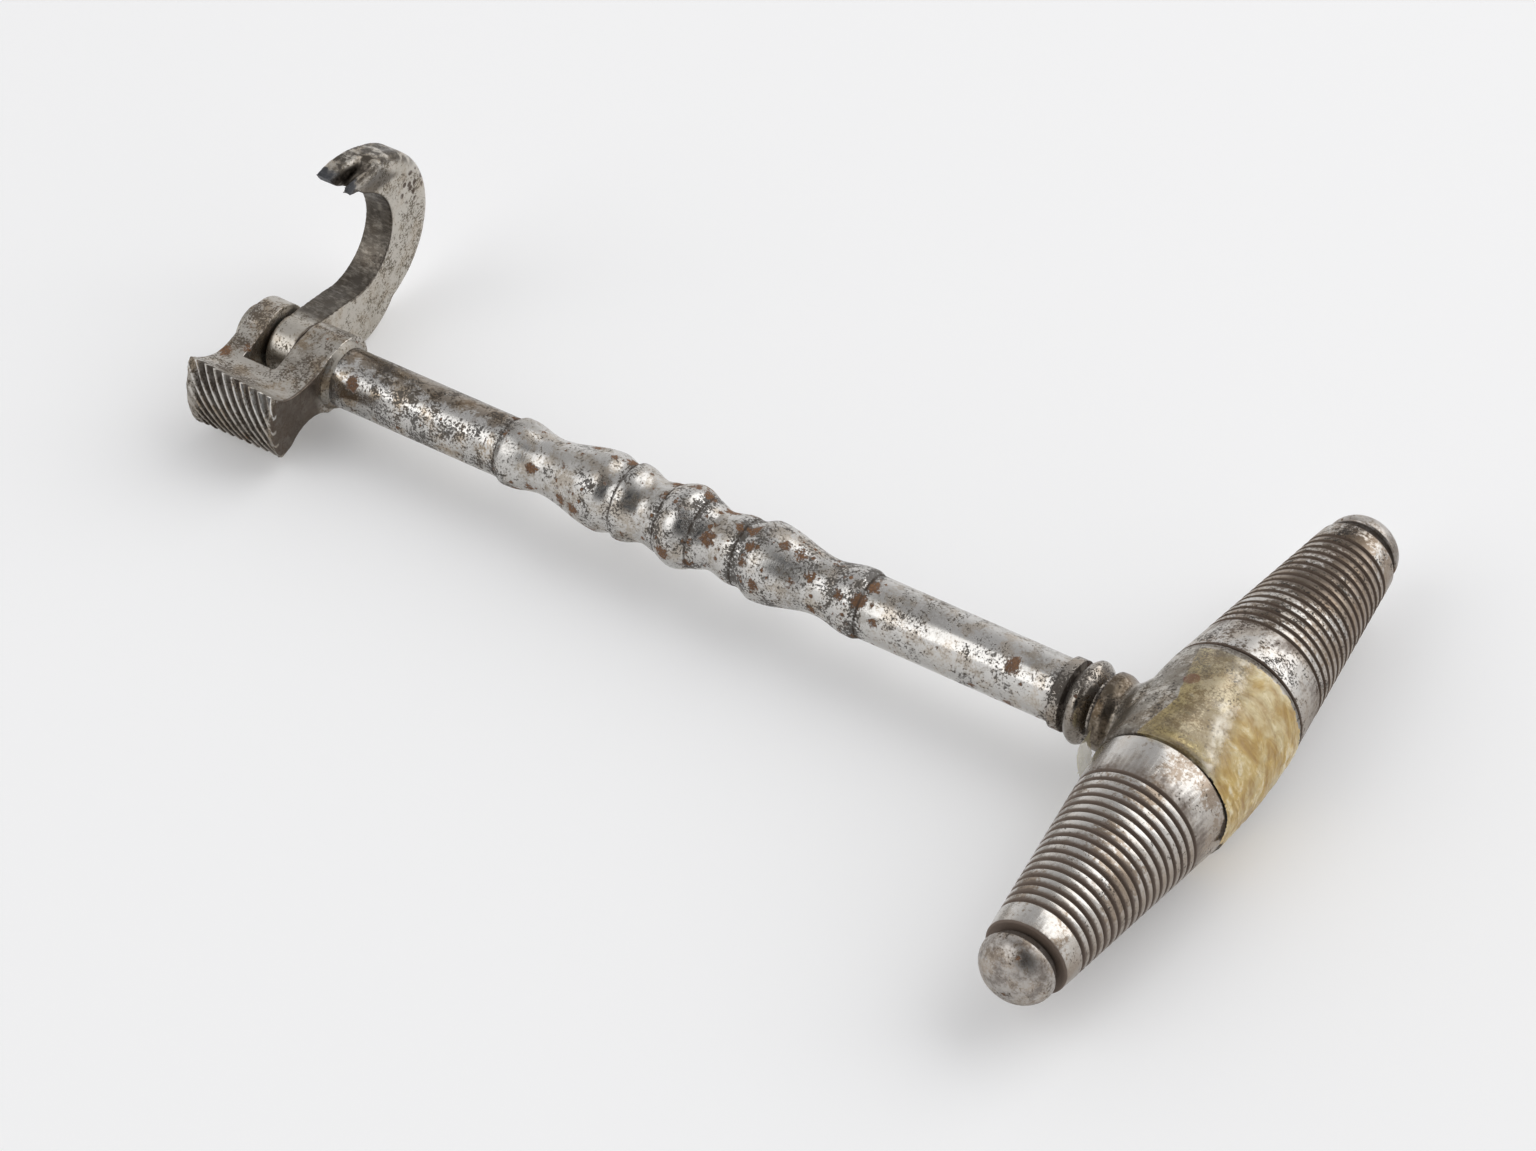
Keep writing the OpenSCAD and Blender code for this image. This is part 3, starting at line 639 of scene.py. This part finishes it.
bent_x = maths(tree, "MULTIPLY_ADD", bent, NOTCH_BEND, parts["X"])
from_notch = maths(tree, "ABSOLUTE", maths(tree, "SUBTRACT", bent_x, NOTCH_X))
# Painted shade: the notch between the prongs is darkened, spread wide enough to cover its lit far wall.
notch_shade = maths(tree, "MULTIPLY", ramp(tree, from_notch, 1.7, 1.0), ramp(tree, beak_depth, -4.6, -3.4))
notch_shade = maths(tree, "MULTIPLY", notch_shade, above)
from_back = from_line(tree, point, (0, BACK_ARCS[0][0], BACK_ARCS[0][1]))
back = maths(tree, "MULTIPLY", ramp(tree, from_back, 11.2, 12.2), ramp(tree, parts["Z"], 24.0, 28.0))
back = maths(tree, "MULTIPLY", back, ramp(tree, mottle, 0.6, 0.46))
tip = vectors(tree, "MULTIPLY", vectors(tree, "SUBTRACT", point, (0, *BEAK_TIP)), (0, 1, 1))
from_tip = vectors(tree, "LENGTH", tip, result="Value")
tip = ramp(tree, maths(tree, "MULTIPLY_ADD", mottle, 1.6, from_tip), 2.8, 2.1)
tip = maths(tree, "MULTIPLY", tip, ramp(tree, from_notch, 0.8, 1.6))
pitted = ramp(tree, vectors(tree, "DISTANCE", point, PITTED, "Value"), 3.0, 2.4)
flat = add_node(tree, "CombineXYZ", {0: parts["Y"], 1: parts["Z"]}).outputs[0]
scatter = {"Vector": flat, "Scale": 0.72, "Randomness": 0.85}
spots = add_node(tree, "TexVoronoi", scatter, voronoi_dimensions="2D")
spots = maths(tree, "MULTIPLY_ADD", cloud(tree, point, 2.5), 0.25, spots.outputs["Distance"])
pitted = maths(tree, "MULTIPLY", pitted, ramp(tree, spots, 0.47, 0.37))
pitted = maths(tree, "MULTIPLY", pitted, ramp(tree, parts["X"], *NEAR_FLANK))
colour, height = steel(
    tree, shader, point, bright=CLAW_BRIGHT, bloom=CLAW_BLOOM, pit=CLAW_SPECK, polish=0.34, bloom_level=0.0,
    stain=0.4, pitting=0.13, rust_share=0.0, hollow=maths(tree, "MULTIPLY", hollow_of(tree), 0.8),
)
inner_tone = tint(tree, ramp(tree, scratches, 0.46, 0.66), CLAW_DARK, CLAW_SCRATCH)
colour = tint(tree, maths(tree, "MULTIPLY", inner, 0.9), colour, inner_tone)
dark = maths(tree, "MAXIMUM", maths(tree, "MAXIMUM", beak, notch_shade), back)
colour = tint(tree, maths(tree, "MULTIPLY", dark, 0.9), colour, CLAW_DARK)
colour = tint(tree, maths(tree, "MULTIPLY", tip, 0.8), colour, CLAW_BLUE)
colour = tint(tree, maths(tree, "MULTIPLY", pitted, 0.9), colour, PIT_BROWN)
# Painted shadow: the root's flank beside the near ear is darkened, as the shaded gap between the ear and
# the claw.
from_root = from_line(tree, point, (0, ROOT_ARC[0], ROOT_ARC[1]))
gap_shadow = ramp(tree, parts["X"], *GAP_SHADOW_ACROSS)
gap_shadow = maths(tree, "MULTIPLY", gap_shadow, ramp(tree, from_root, *GAP_SHADOW_OUT))
colour = tint(tree, maths(tree, "MULTIPLY", gap_shadow, 0.9), colour, DIRT_AND_SHADE_BROWN)
height = maths(tree, "MULTIPLY_ADD", maths(tree, "MULTIPLY", inner, scratches), 0.03, height)
height = maths(tree, "MULTIPLY_ADD", pitted, -0.06, height)
lay_on(tree, shader, colour, height)
wear(claw, "claw", finish)


# Claw screw: a steel pin with a round slotted head, screwed through both ears.
# It is dull and dark, as are the pin through the hub and the rod through the handle.
SCREW_EDGE = 0.25
SCREW_BRIGHT = (0.38, 0.36, 0.32, 1)
SCREW_BLOOM = (0.2, 0.18, 0.155, 1)
claw_screw = bench_copy("claw_screw", "slotted_screw")
round_edges(claw_screw, SCREW_EDGE)
bpy.ops.object.shade_smooth_by_angle(angle=SMOOTH_BELOW)
soil(claw_screw)
finish, tree, shader, point = new_finish("screw_steel")
colour, height = steel(
    tree, shader, point, bright=SCREW_BRIGHT, bloom=SCREW_BLOOM, polish=0.38, bloom_level=0.02,
    stain=0.7, pitting=0.0, rust_share=0.2, hollow=hollow_of(tree),
)
lay_on(tree, shader, colour, height)
wear(claw_screw, "claw_screw", finish)
for name in ("hub_pin", "handle_rod"):
    frame["nodes"][name].data.materials.clear()
    frame["nodes"][name].data.materials.append(finish)


# Hub: the steel barrel across the stem's end, with a short neck that takes the stem's tenon.
# Grey and brown stains lie on it, and one dark red spot on top; its ends are darkened against the grips,
# dirt with painted shade. Under the clear end of the tape it shows through amber, with the gloss of the
# film over it and a pale glare painted on it as a highlight.
HUB_GRAIN = 0.2
HUB_BRIGHT = (0.47, 0.44, 0.395, 1)
HUB_BLOOM = (0.17, 0.15, 0.12, 1)
HUB_AMBER = (1.0, 0.92, 0.7, 1)
HUB_OLIVE = (0.92, 0.8, 0.42, 1)
HUB_PAINTED_GLARE = (0.72, 0.69, 0.62, 1)
HUB_HALF = 9.1
RED_SPOT = (64.6, 1.73, 19.2)
RED_BROWN = (0.13, 0.036, 0.022, 1)
FILM_END = 102.5
FILM_SLOPE = 1.6
FILM_POINT = -2.3
CREASE_SLANT = 1.8


def from_handle(tree, point):
    """Place along the handle from its middle, distance out from its axis, and angle round it in degrees."""
    moved = vectors(tree, "SUBTRACT", point, (HANDLE_X, 0, HANDLE_Z))
    radius = vectors(tree, "LENGTH", vectors(tree, "MULTIPLY", moved, (1, 0, 1)), result="Value")
    parts = parts_of(tree, moved)
    angle = maths(tree, "DEGREES", maths(tree, "ARCTAN2", parts["Z"], parts["X"]))
    return parts["Y"], radius, angle


hub = bench_copy("hub", "stained_hub")
soften(hub, HUB_GRAIN, 5)
wave(hub, 0.05, 4.0)
soil(hub)
finish, tree, shader, point = new_finish("hub_steel")
along, radius, angle = from_handle(tree, point)
mottle = cloud(tree, point, 0.5, 5.0, 0.65)
# Painted shade: the hub's ends against the grips are darkened, dirt with painted shade along the seams.
end = ramp(tree, maths(tree, "ABSOLUTE", along), HUB_HALF - 1.0, HUB_HALF - 0.4)
neck = ramp(tree, parts_of(tree, point)["X"], HANDLE_X - 9.2, HANDLE_X - 10.4)
ragged = maths(tree, "MULTIPLY", maths(tree, "SUBTRACT", mottle, 0.5), 5.0)
from_point = maths(tree, "ABSOLUTE", maths(tree, "SUBTRACT", along, FILM_POINT))
film_end = maths(tree, "MULTIPLY_ADD", from_point, FILM_SLOPE, FILM_END)
film = ramp(tree, maths(tree, "SUBTRACT", film_end, maths(tree, "ADD", angle, ragged)), -0.5, 0.5)
film = maths(tree, "MULTIPLY", film, ramp(tree, angle, 20, 40))
film = maths(tree, "MULTIPLY", film, ramp(tree, along, 8.1, 7.9))
film = maths(tree, "MULTIPLY", film, ramp(tree, radius, 8.9, 9.1))
hollow = maths(tree, "MAXIMUM", hollow_of(tree), maths(tree, "MULTIPLY", end, 0.6))
colour, height = steel(
    tree, shader, point, bright=HUB_BRIGHT, bloom=HUB_BLOOM, polish=0.3, bloom_level=0.04,
    stain=0.6, pitting=0.06, rust_share=0.0, hollow=hollow,
)
colour = tint(tree, maths(tree, "MULTIPLY", neck, 0.8), colour, SOOT_AND_REFLECTION_BROWN, "MULTIPLY")
red = vectors(tree, "DISTANCE", point, RED_SPOT, "Value")
red = ramp(tree, maths(tree, "MULTIPLY_ADD", mottle, 0.8, red), 1.6, 1.2)
colour = tint(tree, maths(tree, "MULTIPLY", red, 0.85), colour, RED_BROWN)
film_edge = ramp(tree, maths(tree, "SUBTRACT", film_end, angle), 16.0, 4.0)
film_edge = maths(tree, "MAXIMUM", film_edge, ramp(tree, along, -6.2, -7.8))
film_tone = tint(tree, film_edge, HUB_AMBER, HUB_OLIVE)
colour = tint(tree, film, colour, film_tone, "MULTIPLY")
# Painted highlight: a broken pale glare painted over the film, in slanting streaks.
painted_glare = maths(tree, "MULTIPLY_ADD", mottle, 34.0, maths(tree, "MULTIPLY_ADD", along, -CREASE_SLANT, angle))
broken = ramp(tree, cloud(tree, point, 0.3), 0.4, 0.56)
painted_glare = maths(tree, "MULTIPLY", ramp(tree, painted_glare, 98.0, 80.0), broken)
painted_glare = maths(tree, "MULTIPLY", maths(tree, "MULTIPLY", painted_glare, film), 0.6)
colour = tint(tree, painted_glare, colour, HUB_PAINTED_GLARE)
lay_on(tree, shader, colour, height)
tree.links.new(maths(tree, "MULTIPLY", film, 0.9), shader.inputs["Coat Weight"])
shader.inputs["Coat Roughness"].default_value = 0.2
wear(hub, "shaft", finish)


# Grips: two tapered steel sleeves on the rod, with plain bands at their ends and ring grooves between.
# The lands are rubbed bright by hands, and the grooves are full of brown dirt. The far grip is duller,
# with grime on top, and both are brown below: brown patina with a painted warm reflection.
GRIP_EDGE = 0.26
GRIP_BRIGHT = (0.58, 0.56, 0.53, 1)
GRIP_BLOOM = (0.52, 0.5, 0.47, 1)
GRIP_GRIME_AND_REFLECTION = (0.48, 0.39, 0.31, 1)
GRIP_SOOT = (0.42, 0.41, 0.4, 1)
GROOVE_BROWN = (0.16, 0.118, 0.09, 1)
grip_low, grip_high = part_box("far_grip")
GRIP_START = grip_low.y / MILLIMETRE
GRIP_LENGTH = (grip_high.y - grip_low.y) / MILLIMETRE
GRIP_LARGE = (grip_high.x - grip_low.x) / 2 / MILLIMETRE
GRIP_SMALL = 5.5
finish, tree, shader, point = new_finish("grip_steel")
along, radius, angle = from_handle(tree, point)
from_start = maths(tree, "SUBTRACT", maths(tree, "ABSOLUTE", along), GRIP_START)
cone = maths(tree, "MULTIPLY_ADD", from_start, (GRIP_SMALL - GRIP_LARGE) / GRIP_LENGTH, GRIP_LARGE)
depth = maths(tree, "SUBTRACT", cone, radius)
dirt = ramp(tree, maths(tree, "MULTIPLY_ADD", cloud(tree, point, 0.4), 0.08, depth), 0.035, 0.085)
grime_and_reflection = maths(tree, "MULTIPLY", cloud(tree, point, 0.13), 0.7)
grime_and_reflection = maths(tree, "MULTIPLY_ADD", cloud(tree, point, 2.0), 0.3, grime_and_reflection)
grime_and_reflection = ramp(tree, maths(tree, "MULTIPLY_ADD", ramp(tree, along, 8.0, 30.0), 0.1, grime_and_reflection), 0.5, 0.58)
grimy = maths(tree, "MULTIPLY", grime_and_reflection, between(tree, angle, 62.0, 112.0, 14.0))
far_side = ramp(tree, along, -5.0, 5.0)
# Painted reflection: the grips' lower side is browned, patina with a painted warm reflection.
low = maths(tree, "MULTIPLY", ramp(tree, angle, 46.0, -4.0), ramp(tree, angle, -140.0, -100.0))
halo = maths(tree, "MULTIPLY", ramp(tree, depth, -0.02, 0.06), 0.6)
grime_and_reflection = maths(tree, "MAXIMUM", maths(tree, "MULTIPLY", grime_and_reflection, 0.9), maths(tree, "MULTIPLY", low, 0.8))
grime_and_reflection = maths(tree, "MAXIMUM", grime_and_reflection, halo)
polish = maths(tree, "MULTIPLY_ADD", far_side, 0.1, 0.22)
stain = maths(tree, "MULTIPLY_ADD", far_side, 0.2, 0.2)
pitting = maths(tree, "MULTIPLY", far_side, 0.1)
colour, height = steel(
    tree, shader, point, bright=GRIP_BRIGHT, bloom=GRIP_BLOOM, polish=polish, bloom_level=-0.03,
    stain=stain, pitting=pitting, rust_share=0.0, hollow=dirt,
)
colour = tint(tree, grime_and_reflection, colour, GRIP_GRIME_AND_REFLECTION, "MULTIPLY")
colour = tint(tree, maths(tree, "MULTIPLY", grimy, far_side), colour, GRIP_SOOT, "MULTIPLY")
colour = tint(tree, maths(tree, "MULTIPLY", dirt, 0.9), colour, GROOVE_BROWN)
lay_on(tree, shader, colour, turned(tree, along, height))
for side in ("near", "far"):
    grip = bench_copy(side + "_grip", side + "_ringed_grip")
    round_edges(grip, GRIP_EDGE, sharper_than=20)
    bpy.ops.object.shade_smooth_by_angle(angle=SMOOTH_BELOW)
    wear(grip, side + "_grip", finish)


# End caps: domed steel nuts on the rod's ends, each with a dark groove against its grip.
# They are mottled grey and brown, with dark blotches.
CAP_EDGE = 0.1
CAP_BRIGHT = (0.46, 0.43, 0.4, 1)
CAP_BLOOM = (0.3, 0.27, 0.24, 1)
CAP_BLOTCH = (0.1, 0.075, 0.058, 1)
CAP_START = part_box("far_end_cap")[0].y / MILLIMETRE
CAP_NECK = 1.0
finish, tree, shader, point = new_finish("cap_steel")
along = from_handle(tree, point)[0]
neck = ramp(tree, maths(tree, "ABSOLUTE", along), CAP_START + CAP_NECK + 0.1, CAP_START + CAP_NECK - 0.1)
blotches = ramp(tree, cloud(tree, point, 0.6, 6.0, 0.7), 0.44, 0.68)
colour, height = steel(
    tree, shader, point, bright=CAP_BRIGHT, bloom=CAP_BLOOM, polish=0.36, bloom_level=0.0,
    stain=0.5, pitting=0.0, rust_share=0.15, hollow=neck,
)
colour = tint(tree, maths(tree, "MULTIPLY", blotches, 0.65), colour, CAP_BLOTCH)
lay_on(tree, shader, colour, height)
for side in ("near", "far"):
    cap = bench_copy(side + "_end_cap", side + "_domed_cap")
    round_edges(cap, CAP_EDGE)
    bpy.ops.object.shade_smooth_by_angle(angle=SMOOTH_BELOW)
    wear(cap, side + "_end_cap", finish)


# Tape: a strip of old clear tape, wound once round the hub's near end and torn off on the stem's side.
# Over the back of the hub it is wide, amber and brittle, and lifts in pale creases. Its torn end stands
# off below the stem, clear and pale, its cream painted light as if lit through, and its near edge reaches
# over the grip without touching it.
TAPE_FIRST = -198
TAPE_LAST = 112
TAPE_NEAR = -11.5
TAPE_FAR = 8.5
TAPE_CELL = 0.2
TAPE_LIFT = 0.07
TAPE_WRINKLE = 0.14
HUB_RADIUS = 9.75
HUB_CROWN = 0.35
CREASE_FROM = 60
LOOSE_TO = -50
TORN_FROM = -150
TORN_LIFT = 1.8
FLAP_COVER = 0.45
FLAP_CREAM_LIT = (0.95, 0.86, 0.5, 1)
TAPE_AMBER = (0.4, 0.235, 0.06, 1)
TAPE_GOLD = (0.64, 0.44, 0.13, 1)
TAPE_CREAM = (0.78, 0.68, 0.42, 1)
TAPE_BROWN = (0.33, 0.19, 0.06, 1)
TAPE_PALE = (0.8, 0.73, 0.55, 1)
TAPE_NEAR_EDGE = (
    (112, -9.2), (106, -9.45), (98, -10.3), (75, -9.9), (50, -9.5), (25, -9.4), (8, -9.6), (-2, -10.4),
    (-8, -11.25), (-12, -10.6), (-16, -9.4), (-30, -8.9), (-60, -9.9), (-150, -10.4), (-185, -10.6),
    (-198, -10.2),
)
TAPE_FAR_EDGE = (
    (117, 5.0), (106, 5.6), (98, 6.8), (88, 7.8), (56, 8.1), (3, 8.1), (-20, 7.8), (-30, 6.6), (-40, 2.0),
    (-52, -4.5), (-70, -7.6), (-150, -7.8), (-180, -7.0), (-198, -7.2),
)


def edge_at(outline, angle):
    """Place of a torn edge along the handle, at an angle round it in degrees."""
    for (angle_before, y_before), (angle_after, y_after) in zip(outline, outline[1:]):
        if angle >= angle_after:
            part = (angle_before - angle) / (angle_before - angle_after)
            return y_before + (y_after - y_before) * part
    return outline[-1][1]


def angle_of(place):
    """Angle of a place round the handle in degrees, counted on past the turn where the tape goes below."""
    angle = math.degrees(math.atan2(place.z - HANDLE_Z, place.x - HANDLE_X))
    return angle - 360 if angle > TAPE_LAST + 12 else angle


def mixed(tree, share, first, second):
    """Goes from one value to another."""
    return add_node(tree, "Mix", {0: share, 2: first, 3: second}).outputs[0]


bpy.ops.object.select_all(action="DESELECT")
bpy.ops.mesh.primitive_plane_add(size=1)
tape = bpy.context.active_object
tape.name = "amber_tape"
bpy.ops.object.mode_set(mode="EDIT")
bpy.ops.mesh.select_all(action="DESELECT")
skin = bmesh.from_edit_mesh(tape.data)
for corner in skin.verts:
    corner.select_set(corner.co.x > 0)
skin.select_flush_mode()
bpy.ops.mesh.delete(type="VERT")
skin = bmesh.from_edit_mesh(tape.data)
for corner in skin.verts:
    corner.co = Vector((0, TAPE_FAR if corner.co.y > 0 else TAPE_NEAR, 0))
bpy.ops.mesh.select_all(action="SELECT")
bpy.ops.mesh.subdivide(number_cuts=round((TAPE_FAR - TAPE_NEAR) / TAPE_CELL))
tape_start = math.radians(TAPE_FIRST)
tape_turn = math.radians(TAPE_LAST - TAPE_FIRST)
skin = bmesh.from_edit_mesh(tape.data)
for corner in skin.verts:
    out = min(1.0, abs(corner.co.y) / HUB_HALF)
    reach = HUB_RADIUS - HUB_CROWN * out * out + TAPE_LIFT
    corner.co.x = HANDLE_X + reach * math.cos(tape_start)
    corner.co.z = HANDLE_Z + reach * math.sin(tape_start)
bmesh.update_edit_mesh(tape.data)
bpy.ops.mesh.select_all(action="SELECT")
tape_steps = round(tape_turn * HUB_RADIUS / TAPE_CELL)
bpy.ops.mesh.spin(steps=tape_steps, angle=tape_turn, center=(HANDLE_X, 0, HANDLE_Z), axis=(0, 1, 0))
bpy.ops.mesh.select_all(action="DESELECT")
skin = bmesh.from_edit_mesh(tape.data)
for face in skin.faces:
    middle = face.calc_center_median()
    angle = angle_of(middle)
    ragged = 0.5 * noise.noise(middle * 0.9) + 0.3 * noise.noise(middle * 2.7)
    near = edge_at(TAPE_NEAR_EDGE, angle) + ragged * 0.4
    far = edge_at(TAPE_FAR_EDGE, angle) + ragged * 0.7
    stem_side = FILM_END + FILM_SLOPE * abs(middle.y - FILM_POINT)
    face.select_set(not (near < middle.y < far and angle < stem_side + 3 * ragged))
bpy.ops.mesh.delete(type="FACE")
skin = bmesh.from_edit_mesh(tape.data)
for corner in skin.verts:
    angle = angle_of(corner.co)
    outward = Vector((corner.co.x - HANDLE_X, 0, corner.co.z - HANDLE_Z)).normalized()
    loose = min(1.0, max(0.0, (CREASE_FROM + CREASE_SLANT * corner.co.y - angle) / 12))
    loose *= min(1.0, max(0.0, (angle - LOOSE_TO) / 20))
    crumple = abs(noise.noise(corner.co * 0.55)) + 0.5 * abs(noise.noise(corner.co * 1.5))
    torn = min(1.0, max(0.0, (TORN_FROM - angle) / (TORN_FROM - TAPE_FIRST)))
    corner.co += outward * (TAPE_WRINKLE * loose * min(1.0, crumple * 1.4) + TORN_LIFT * torn)
bmesh.update_edit_mesh(tape.data)
bpy.ops.mesh.select_all(action="SELECT")
bpy.ops.transform.resize(value=(MILLIMETRE, MILLIMETRE, MILLIMETRE), center_override=(0, 0, 0))
bpy.ops.mesh.normals_make_consistent(inside=False)
bpy.ops.object.mode_set(mode="OBJECT")
bpy.ops.object.shade_smooth()
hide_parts("hub_tape")
finish, tree, shader, point = new_finish("tape_film")
along, radius, angle = from_handle(tree, point)
round_hub = add_node(tree, "CombineXYZ", {0: along, 1: maths(tree, "MULTIPLY", angle, 0.07)}).outputs[0]
swirl = {"Vector": round_hub, "Scale": 0.34, "Detail": 4.0, "Distortion": 1.4}
crease = add_node(tree, "TexNoise", swirl).outputs[0]
fibre = cloud(tree, point, 1.2, 5.0, 0.62)
edge = maths(tree, "MULTIPLY_ADD", along, -CREASE_SLANT, angle)
ragged = maths(tree, "SUBTRACT", fibre, 0.5)
lifted = ramp(tree, maths(tree, "MULTIPLY_ADD", ragged, 16.0, edge), 72.0, 50.0)
broad = cloud(tree, point, 0.24, 3.0)
amber = tint(tree, ramp(tree, crease, 0.3, 0.62), TAPE_AMBER, TAPE_GOLD)
cream = maths(tree, "MULTIPLY_ADD", crease, 0.4, maths(tree, "MULTIPLY", broad, 0.6))
upper_far = maths(tree, "MULTIPLY", ramp(tree, angle, 15.0, 50.0), ramp(tree, along, -3.0, 6.0))
cream = ramp(tree, maths(tree, "MULTIPLY_ADD", upper_far, 0.1, cream), 0.46, 0.64)
amber = tint(tree, maths(tree, "MULTIPLY", cream, 0.75), amber, TAPE_CREAM)
pale = maths(tree, "MULTIPLY_ADD", crease, 0.6, maths(tree, "MULTIPLY", fibre, 0.4))
amber = tint(tree, maths(tree, "MULTIPLY", ramp(tree, pale, 0.53, 0.66), 0.8), amber, TAPE_PALE)
swirl = {"Vector": round_hub, "Scale": 0.5, "Detail": 2.0, "Distortion": 2.0}
folds = add_node(tree, "TexNoise", swirl).outputs[0]
from_fold = maths(tree, "ABSOLUTE", maths(tree, "SUBTRACT", folds, 0.5))
fold = ramp(tree, from_fold, 0.03, 0.0)
amber = tint(tree, maths(tree, "MULTIPLY", fold, 0.3), amber, TAPE_BROWN)
ridge = ramp(tree, maths(tree, "ABSOLUTE", maths(tree, "SUBTRACT", edge, 61.0)), 5.0, 1.5)
ridge = maths(tree, "MULTIPLY", ridge, ramp(tree, fibre, 0.5, 0.56))
amber = tint(tree, maths(tree, "MULTIPLY", ridge, 0.7), amber, TAPE_GOLD)
# Painted light: the torn end's cream is made pale, the tape's tone lightened to stand in for light coming
# through it.
flap = maths(tree, "MAXIMUM", ramp(tree, angle, 122.0, 128.0), ramp(tree, angle, -138.0, -152.0))
tree.links.new(tint(tree, flap, amber, FLAP_CREAM_LIT), shader.inputs["Base Color"])
cover = mixed(tree, flap, maths(tree, "MULTIPLY_ADD", lifted, 0.76, 0.1), FLAP_COVER)
cover = maths(tree, "MULTIPLY_ADD", ramp(tree, pale, 0.5, 0.6), 0.1, cover, clamp=True)
tree.links.new(cover, shader.inputs["Alpha"])
shader.inputs["Roughness"].default_value = 0.3
bump = add_node(tree, "Bump", {"Height": crease, "Distance": MILLIMETRE * 0.4})
tree.links.new(bump.outputs[0], shader.inputs["Normal"])
wear(tape, "shaft", finish)


# Floor: a pale table that the key lies on, so it touches the hub and the heel of the claw.
# A little light of its own, which only the camera and the bright steel see, keeps it near white.
TABLE_SIZE = 6
TABLE_WHITE = (0.8, 0.8, 0.8, 1)
TABLE_GLOW = 0.17
handle_axis = Vector((HANDLE_X, 0, HANDLE_Z)) * MILLIMETRE
table_tilt = math.atan2(claw_low.z, handle_axis.x - (claw_low.x + claw_high.x) / 2)
bpy.ops.mesh.primitive_plane_add(
    size=TABLE_SIZE, location=(handle_axis.x, 0, 0), rotation=(0, table_tilt, 0)
)
floor = bpy.context.active_object
floor.name = "table"
finish, tree, shader, point = new_finish("table_paper")
shader.inputs["Base Color"].default_value = TABLE_WHITE
shader.inputs["Roughness"].default_value = 0.9
shader.inputs["Specular IOR Level"].default_value = 0.1
shader.inputs["Emission Color"].default_value = (1, 1, 1, 1)
rays = add_node(tree, "LightPath").outputs
seen = maths(tree, "MAXIMUM", rays["Is Camera Ray"], rays["Is Glossy Ray"])
tree.links.new(maths(tree, "MULTIPLY", seen, TABLE_GLOW), shader.inputs["Emission Strength"])
floor.data.materials.append(finish)


# Camera: a long lens at the photograph's angle, set by where the hub lies in its view: how far to the
# right, how far up and how far away, in metres.
AZIMUTH = math.radians(32.875)
ELEVATION = math.radians(42.956)
HUB_IN_VIEW = Vector((0.05192, -0.02111, 0.60524))
LENS_PIXELS = 5001.5
PICTURE_WIDTH = 1536
level = Vector((-math.sin(AZIMUTH), math.cos(AZIMUTH), 0))
away = level * math.cos(ELEVATION) - Vector((0, 0, math.sin(ELEVATION)))
right = away.cross(Vector((0, 0, 1))).normalized()
up = right.cross(away)
camera_data = bpy.data.cameras.new("camera")
camera_data.sensor_width = 36
camera_data.lens = LENS_PIXELS * camera_data.sensor_width / PICTURE_WIDTH
camera = bpy.data.objects.new("camera", camera_data)
bpy.context.scene.collection.objects.link(camera)
camera.matrix_world = Matrix((right, up, -away)).transposed().to_4x4()
camera.location = handle_axis - right * HUB_IN_VIEW.x - up * HUB_IN_VIEW.y - away * HUB_IN_VIEW.z
bpy.context.scene.camera = camera


# Studio: two broad soft lamps, to the right and to the left of the key, in a pale room.
# Its ceiling is greyer, and it is dark round the camera, so that the steel shows dark streaks.
ROOM_WALL = (1.0, 1.0, 1.01, 1)
ROOM_CEILING = (0.52, 0.52, 0.53, 1)
ROOM_DARK = (0.03, 0.03, 0.033, 1)


def softbox(name, azimuth, elevation, distance, size, power):
    """A square lamp that looks at the key from a direction in degrees."""
    lamp = bpy.data.lights.new(name, "AREA")
    lamp.shape = "SQUARE"
    lamp.size = size
    lamp.energy = power
    lit = bpy.data.objects.new(name, lamp)
    bpy.context.scene.collection.objects.link(lit)
    rise = math.radians(elevation)
    side = math.radians(azimuth)
    flat = math.cos(rise) * distance
    place = Vector((flat * math.cos(side), flat * math.sin(side), math.sin(rise) * distance))
    lit.location = place
    lit.rotation_euler = (-place).to_track_quat("-Z", "Y").to_euler()


softbox("right_box", azimuth=57, elevation=42, distance=1.5, size=1.6, power=11.5)
softbox("left_box", azimuth=-123, elevation=43, distance=1.5, size=1.15, power=4.8)
world = bpy.data.worlds.new("room")
world.use_nodes = True
bpy.context.scene.world = world
tree = world.node_tree
toward = add_node(tree, "TexCoord").outputs["Generated"]
room = tint(tree, ramp(tree, parts_of(tree, toward)["Z"], 0.0, 0.9), ROOM_WALL, ROOM_CEILING)
front = vectors(tree, "DOT_PRODUCT", toward, -away, "Value")
room = tint(tree, ramp(tree, front, 0.72, 0.92), room, ROOM_DARK)
tree.links.new(room, tree.nodes["Background"].inputs["Color"])
bpy.context.scene.view_settings.view_transform = "Standard"
